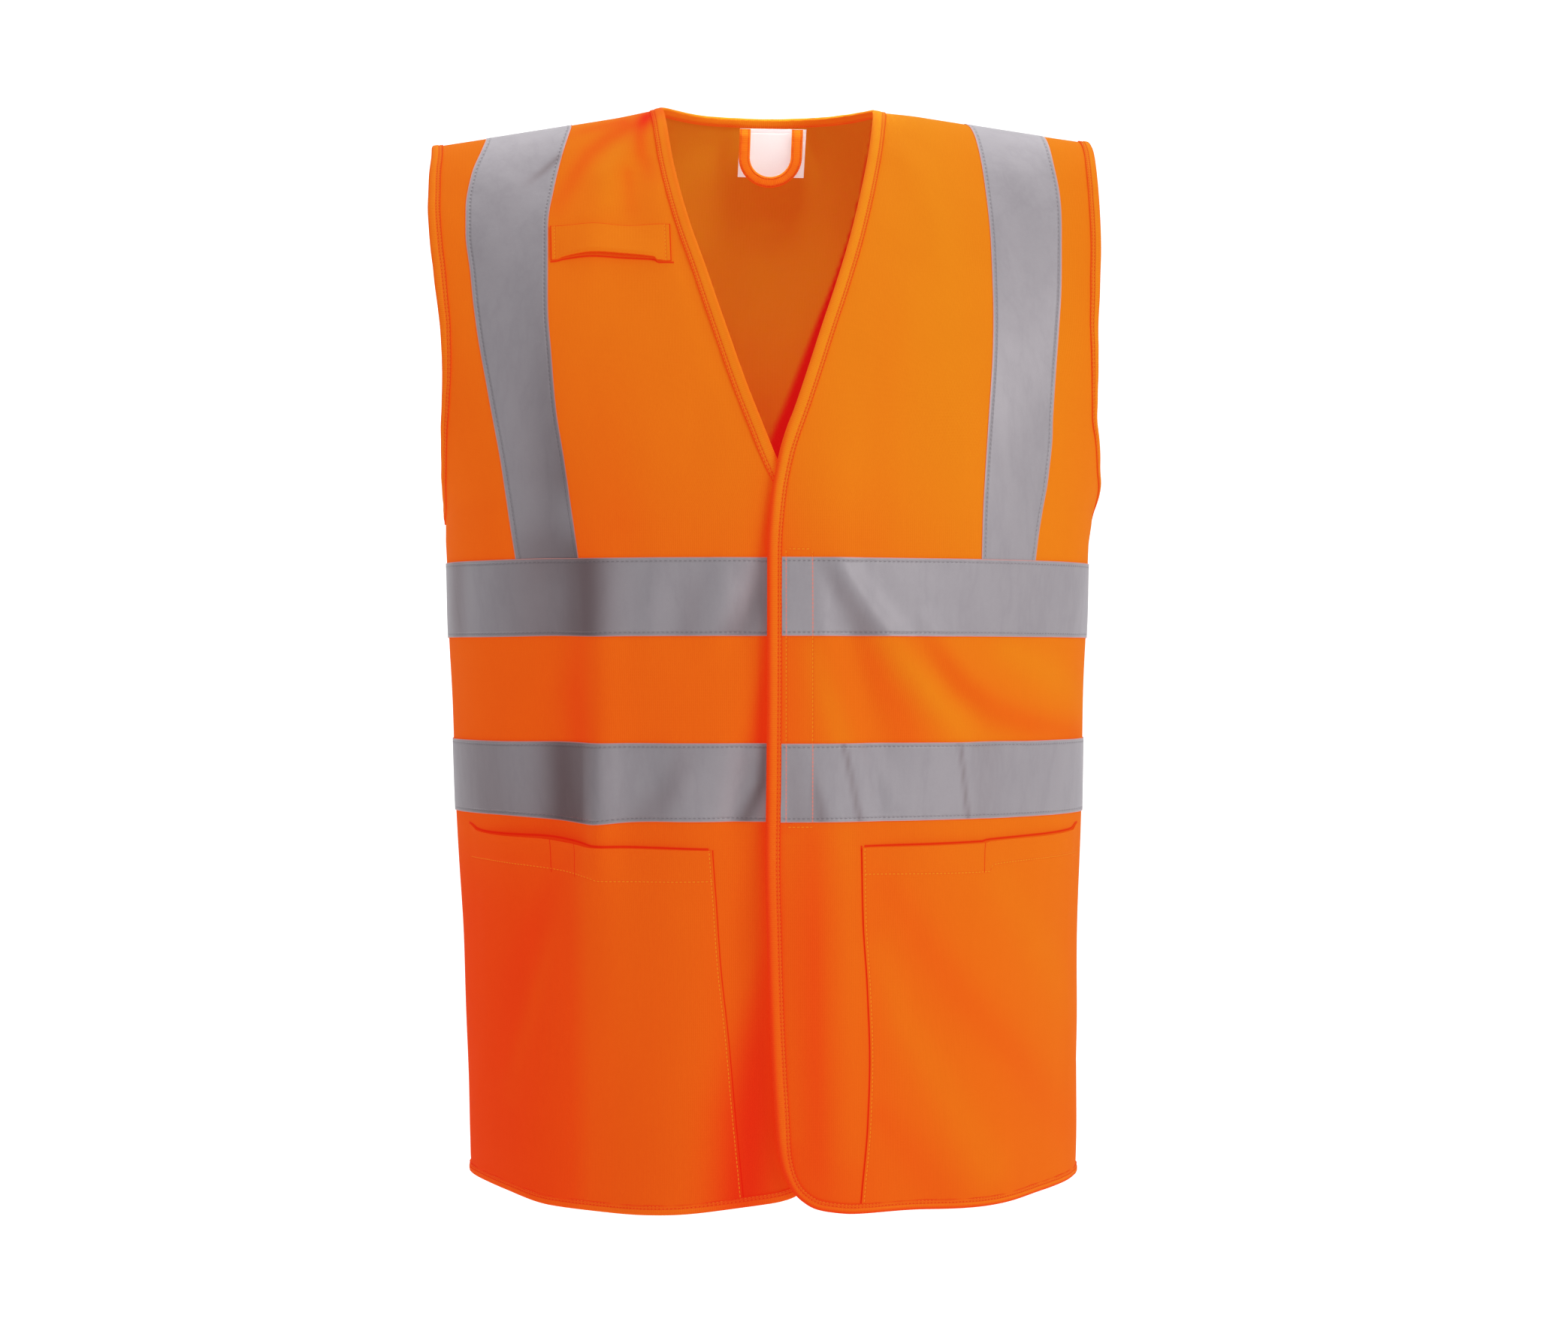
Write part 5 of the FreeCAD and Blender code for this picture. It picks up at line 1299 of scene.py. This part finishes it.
def binding(name, strip_of, width, nodes, side=0, ring=False, start=0.0, bulge=1.0, tint=None):
    """Folded binding round an edge; start is its place along the whole run of edge."""
    pts, out, inward = strip_of
    count, around = len(pts), len(BIND_PROFILE)
    width = np.broadcast_to(width, count)[:, None]
    share, extra, fixed, bulging = BIND_PROFILE.T
    inset = share * width + extra
    along = lengths_along(pts[:, 0]) + start
    lift = np.repeat((fixed + bulge * bulging)[None], count, 0)
    lift[:, 1:14] += (0.10 * np.sin(along / 7.3) + 0.08 * np.sin(along / 3.1 + 1.0))[:, None]

    spot = np.clip(inset / width, 0, 1) * STRIP_STEPS
    i = np.minimum(spot.astype(int), STRIP_STEPS - 1)
    part = (spot - i)[..., None]
    rows = np.arange(count)[:, None]
    base, up = (grid_of[rows, i] * (1 - part) + grid_of[rows, i + 1] * part
                for grid_of in (pts, out))
    verts = base + inward[:, None] * np.minimum(inset, 0)[..., None]
    verts = verts + unit(up) * lift[..., None]
    travel = np.cumsum(np.linalg.norm(np.diff(verts, axis=1), axis=2), axis=1)
    travel = np.concatenate([np.zeros((count, 1)), travel], 1)
    along = np.repeat(along[:, None], around, 1)

    verts = verts.reshape(-1, 3)
    faces = tube_faces(count, around, ring)
    corners = verts[faces[8]]
    if np.cross(corners[2] - corners[0], corners[3] - corners[1]).dot(out[0, 0]) < 0:
        faces = faces[:, ::-1]
    tint = side if tint is None else tint
    x, y, z = verts.T
    # painted shade at the binding's foot, where it meets the cloth
    foot = np.zeros((count, around))
    foot[:, 1], foot[:, 2] = 1.0, 0.35
    # painted shade on the binding: over the strip, on its rolled edge, and more on the left front
    # below the V
    attrs = {"st": np.minimum(*(np.abs(inset - (width - row)) for row in STITCH_ROWS)),
             "sl": along,
             "red": redness(x, z, tint, (y > 8) | (tint == 0)) * 0.85,
             "roll": 1 - ease((inset - 0.02 * width) / (0.38 * width)),
             "foot": foot,
             "left_front_roll_shadow": (1 - ease((z - 470) / 50.0)) * (side > 0)}
    uv = np.stack([along, travel], -1).reshape(-1, 2)
    finish_piece(mesh_of(name, verts, faces, uv, [BINDING], attrs=attrs), nodes, side)


def front_run(side):
    """Arc and z of the edge from the neck point down the front and out along the hem."""
    corner_x, corner_z = CORNER[side]
    z1 = np.linspace(NECK_Z - 0.05, corner_z, 700)
    arc1 = arc_of(FRONT_EDGE[side](z1), z1)
    x2 = corner_x + (side * 120.0 - corner_x) * np.linspace(0, 1, 500)[1:] ** 1.6
    z2 = HEM[side](x2)
    arc2 = arc_of(x2, z2)
    arc3 = np.linspace(arc2[-1], side * SIDE_ARC, 140)[1:]
    z3 = hem_heights(arc3, HEM[side])
    return resample(np.concatenate([arc1, arc2, arc3]), np.concatenate([z1, z2, z3]))


def hem_heights(arc, hem):
    z = np.zeros(arc.shape)
    for _ in range(6):
        z = hem(locate(arc, z)[0])
    return z


def back_neck_run():
    x = NECK_X * np.cos(np.pi * np.linspace(0, 1, 400))
    z = neck_back(x) - 0.05
    arc = arc_of(x, z, True)
    return resample(np.where(arc < 0, arc + GIRTH, arc), z)


def low_corner(arc, z):
    """Station on the front edge nearest to z = 60."""
    return np.argmin(np.abs(z - 60) + (np.abs(arc) > 40) * 999)


def opening_bindings():
    """One run of edge: left hem, left front, back neck, right front, right hem."""
    left_arc, left_z = (values[::-1] for values in front_run(LEFT))
    right_arc, right_z = front_run(RIGHT)
    neck_arc, neck_z = (values[1:-1] for values in back_neck_run())
    first, last = len(left_arc) - 1, len(left_arc) + len(neck_arc)   # neck points
    arc = np.concatenate([left_arc, neck_arc, right_arc])
    z = np.concatenate([left_z, neck_z, right_z])
    left, right = np.ones(len(left_arc)), -np.ones(len(right_arc))
    sides = np.concatenate([left, np.zeros(len(neck_arc)), right])
    away = np.concatenate([left, np.where(neck_arc < HALF_GIRTH, -1.0, 1.0), right])
    run = lengths_along(place(arc, z))
    low_left = run[low_corner(left_arc, left_z)]
    low_right = run[last + low_corner(right_arc, right_z)]
    front = ease((run - low_left + 55) / 60) * ease((low_right + 55 - run) / 60)
    neck = ease((run - run[first] + 10) / 20) * ease((run[last] + 10 - run) / 20)
    width = HEM_BIND_W + (FRONT_BIND_W - HEM_BIND_W) * front
    width = width - (FRONT_BIND_W - NECK_BIND_W) * neck
    known = (len(left_arc) // 2, np.array([1.0, 0, 0]))
    pts, out, inward = strip(arc, z, away, width, sides, known)
    whole = (smooth_rows(pts, 2), unit(smooth_rows(out, 6)), unit(smooth_rows(inward, 6)))
    for name, part, side, bulge, nodes in (
            ("left_front", slice(0, first + 1), LEFT, 1.0,
             ["left_front_binding", "left_neck_binding"]),
            ("back_neck", slice(first, last + 1), 0, 0.8, ["back_neck_binding"]),
            ("right_front", slice(last, None), RIGHT, 1.0,
             ["right_front_binding", "right_neck_binding"])):
        binding(name + "_edge_binding", [values[part] for values in whole], width[part], nodes,
                side, start=run[part.start], bulge=bulge)


def back_hem_binding():
    arc = np.linspace(SIDE_ARC, FAR_SIDE, 360)
    arc[0] += SEAM_GAP
    made = strip(arc, hem_heights(arc, BACK_HEM), np.where(arc < HALF_GIRTH, 1.0, -1.0),
                 HEM_BIND_W, 0, (180, np.array([0, 0, 1.0])))
    binding("back_hem_edge_binding", made, HEM_BIND_W, ["hem_binding"])


def armhole_binding(side):
    """Closed ring: up the front edge of the armhole and down the back one."""
    tip = float(shoulder_front(HALF_WIDTH(704.0)))
    up = spread(ARM_Z, tip, lambda z: np.minimum(
        np.minimum(2.4, 0.3 + 0.16 * (z - ARM_Z)), 0.35 + 0.12 * (tip - z)))[1:]
    z = np.concatenate([[ARM_Z], up, up[:-1][::-1]])
    on_back = np.arange(len(z)) > len(up)
    arc = side * np.where(on_back, SIDE_ARC + 0.02, SIDE_ARC - 0.02)
    arc[0] = side * SIDE_ARC
    z[len(up)] = tip - 0.03
    pts, out, inward = strip(arc, z, side * np.where(on_back, 1.0, -1.0), ARM_BIND_W,
                             np.where(on_back, 0, side), (10, np.array([0, 0, -1.0])), ring=True)
    for _ in range(3):
        pts, out, inward = smooth_ring(pts), unit(smooth_ring(out)), unit(smooth_ring(inward))
    tag = TAGS[side]
    binding(tag + "_armhole_edge_binding", (pts, out, inward), ARM_BIND_W,
            [tag + "_armhole_binding"], ring=True, bulge=0.8, tint=side)


opening_bindings()
back_hem_binding()
for side in TAGS:
    armhole_binding(side)


# ---------------------------------------------------------------- hanging loop and label
def hung(pts, tilt, x, y, z):
    """Flat points (x, down-negative, thickness) stood up and leaned by tilt degrees."""
    cosine, sine = math.cos(math.radians(90 + tilt)), math.sin(math.radians(90 + tilt))
    return np.stack([pts[..., 0] + x, pts[..., 1] * cosine - pts[..., 2] * sine + y,
                     pts[..., 1] * sine + pts[..., 2] * cosine + z], -1)


def hang_loop():
    """A U of ribbed tape: two legs and a half circle."""
    inner_radius, width, thick, drop = 14.5, 8.0, 1.6, 20.0
    radius = inner_radius + width / 2
    leg = np.linspace(0, -drop, 24)
    turn = np.linspace(math.pi, 2 * math.pi, 60)[1:-1]
    x = np.concatenate([np.full(24, -radius), radius * np.cos(turn), np.full(24, radius)])
    y = np.concatenate([leg, -drop + radius * np.sin(turn), leg[::-1]])
    run = lengths_along(np.stack([x, y], 1))[:, None]
    way_x, way_y = np.gradient(x), np.gradient(y)
    length = np.hypot(way_x, way_y)
    # profile: upper face with two stitched grooves, then the lower face
    face = np.linspace(-1, 1, 17)
    dome = np.sqrt(np.maximum(1 - np.abs(face) ** 6, 0))
    upper = thick * (0.62 + 0.38 * dome) - 0.28 * bell(np.abs(face) - 0.62, 0.10)
    offset = np.concatenate([face, face[::-1]]) * width / 2 * 0.985
    height = np.concatenate([upper, 0.30 - 0.25 * dome[::-1]])
    thin = 0.20 + 0.80 * ease(np.minimum(run, run[-1] - run) / 5.0)
    sway = 0.25 * np.sin(run / 9.0)
    pts = np.stack([x[:, None] - (way_y / length)[:, None] * offset,
                    y[:, None] + (way_x / length)[:, None] * offset,
                    height * thin + sway * 0.3], -1)
    along, over = np.broadcast_arrays(run, offset)
    zero = np.zeros(along.shape)
    # a fixed painted shade on the loop, which hangs in shade inside the neck
    attrs = {"st": np.minimum(np.abs(over - 2.6), np.abs(over + 2.6)), "sl": along,
             "red": 0.42 + zero, "roll": zero, "foot": zero, "left_front_roll_shadow": zero}
    loop = mesh_of("hang_loop_tape", hung(pts, 25.0, 7.2, 58.2, 725.0).reshape(-1, 3),
                   tube_faces(len(x), len(offset)),
                   np.stack([along, over], -1).reshape(-1, 2), [BINDING], attrs=attrs)
    finish_piece(loop, ["hang_loop"], body="hang_loop")


def label():
    half_width, drop, thick = 23.5, 37.0, 0.30
    row, col = grid(49, np.linspace(-1, 1, 61))
    x, y = col * half_width, -drop * row
    wave = 0.35 * (1 - col ** 2) * row + 0.20 * np.sin(col * 4 + row * 3) * row
    outer, inner = (hung(np.stack([x, y, height], -1), 33.0, 8.6, 59.1, 725.2)
                    for height in (wave, wave - thick))
    attrs = {"st": np.abs(drop * row - 3.0), "sl": x}
    piece = slab("blank_label", outer, inner, (x, y), [SATIN], attrs, flip=True)
    finish_piece(piece, ["neck_label"], body="neck_label")


hang_loop()
label()


# ---------------------------------------------------------------- stage, light and camera
def studio_floor():
    """Floor curving up into a back wall, in metres."""
    level, bend_y, radius = -0.32, 2.2, 1.6
    profile = [(-6.0, level), (bend_y, level)]
    profile += [(bend_y + radius * math.sin(t), level + radius * (1 - math.cos(t)))
                for t in np.linspace(0.1, math.pi / 2, 12)]
    profile += [(bend_y + radius, 7.0)]
    count = len(profile)
    mesh = bpy.data.meshes.new("studio_floor")
    mesh.from_pydata([(x, y, z) for x in (-9.0, 9.0) for y, z in profile], [],
                     [(i, i + 1, i + 1 + count, i + count) for i in range(count - 1)])
    for polygon in mesh.polygons:
        polygon.use_smooth = True
    floor = link("studio_floor", mesh)
    mat = Material("studio_paper")
    colour = mat.mix(mat.noise(300.0), (0.90, 0.90, 0.90), (0.92, 0.92, 0.92))
    mesh.materials.append(mat.shade(colour, rough=0.95, spec=0.05, glow=(1, 1, 1),
                                    glow_strength=0.12))


def area(name, at, target, size, power, colour=(1, 1, 1), size_y=None):
    data = bpy.data.lights.new(name, "AREA")
    data.shape = "RECTANGLE"
    data.size, data.size_y = size, size_y or size
    data.energy = power
    data.color = colour
    light = link(name, data)
    light.location = at
    light.rotation_mode = "QUATERNION"
    light.rotation_quaternion = (Vector(target) - Vector(at)).to_track_quat("-Z", "Y")
    return light


def lights():
    area("key_light", at=(1.9, -2.0, 1.7), target=(0, -0.05, 0.38), size=1.4, size_y=1.6,
         power=41, colour=(1.0, 0.985, 0.96))
    area("fill_light", at=(-2.2, -2.3, 0.9), target=(0, 0, 0.35), size=2.0, power=5,
         colour=(0.96, 0.98, 1.0))
    area("top_light", at=(0.1, -0.3, 2.8), target=(0, 0, 0.5), size=1.8, power=7)
    neck = area("neck_light", at=(0.02, -0.034, 0.815), target=(0.01, 0.13, 0.60), size=0.06,
                power=0.085)
    neck.data.spread = math.radians(84)
    neck.visible_camera = False
    area("back_wash", at=(0.0, 1.3, 2.6), target=(0, 3.2, 0.3), size=3.0, power=80)
    world = bpy.data.worlds.new("studio")
    bpy.context.scene.world = world
    world.use_nodes = True
    background = world.node_tree.nodes["Background"]
    background.inputs[0].default_value = (1, 1, 1, 1)
    background.inputs[1].default_value = 0.36


def camera():
    data = bpy.data.cameras.new("camera")
    view = link("camera", data)
    data.sensor_width = 36.0
    data.lens = 73.6042166
    data.clip_start, data.clip_end = 0.05, 60.0
    away = Vector((math.sin(VIEW_TURN), -math.cos(VIEW_TURN), 0))
    right = Vector((math.cos(VIEW_TURN), math.sin(VIEW_TURN), 0))
    up = Vector((0, 0, 1))
    turn = Matrix((right, up, away)).transposed().to_4x4()
    at = away * VIEW_DISTANCE + right * VIEW_OFFSET + up * VIEW_HEIGHT
    view.matrix_world = Matrix.Translation(at) @ turn
    scene = bpy.context.scene
    scene.camera = view
    scene.view_settings.view_transform = "Standard"
    scene.view_settings.look = "None"


studio_floor()
lights()
camera()
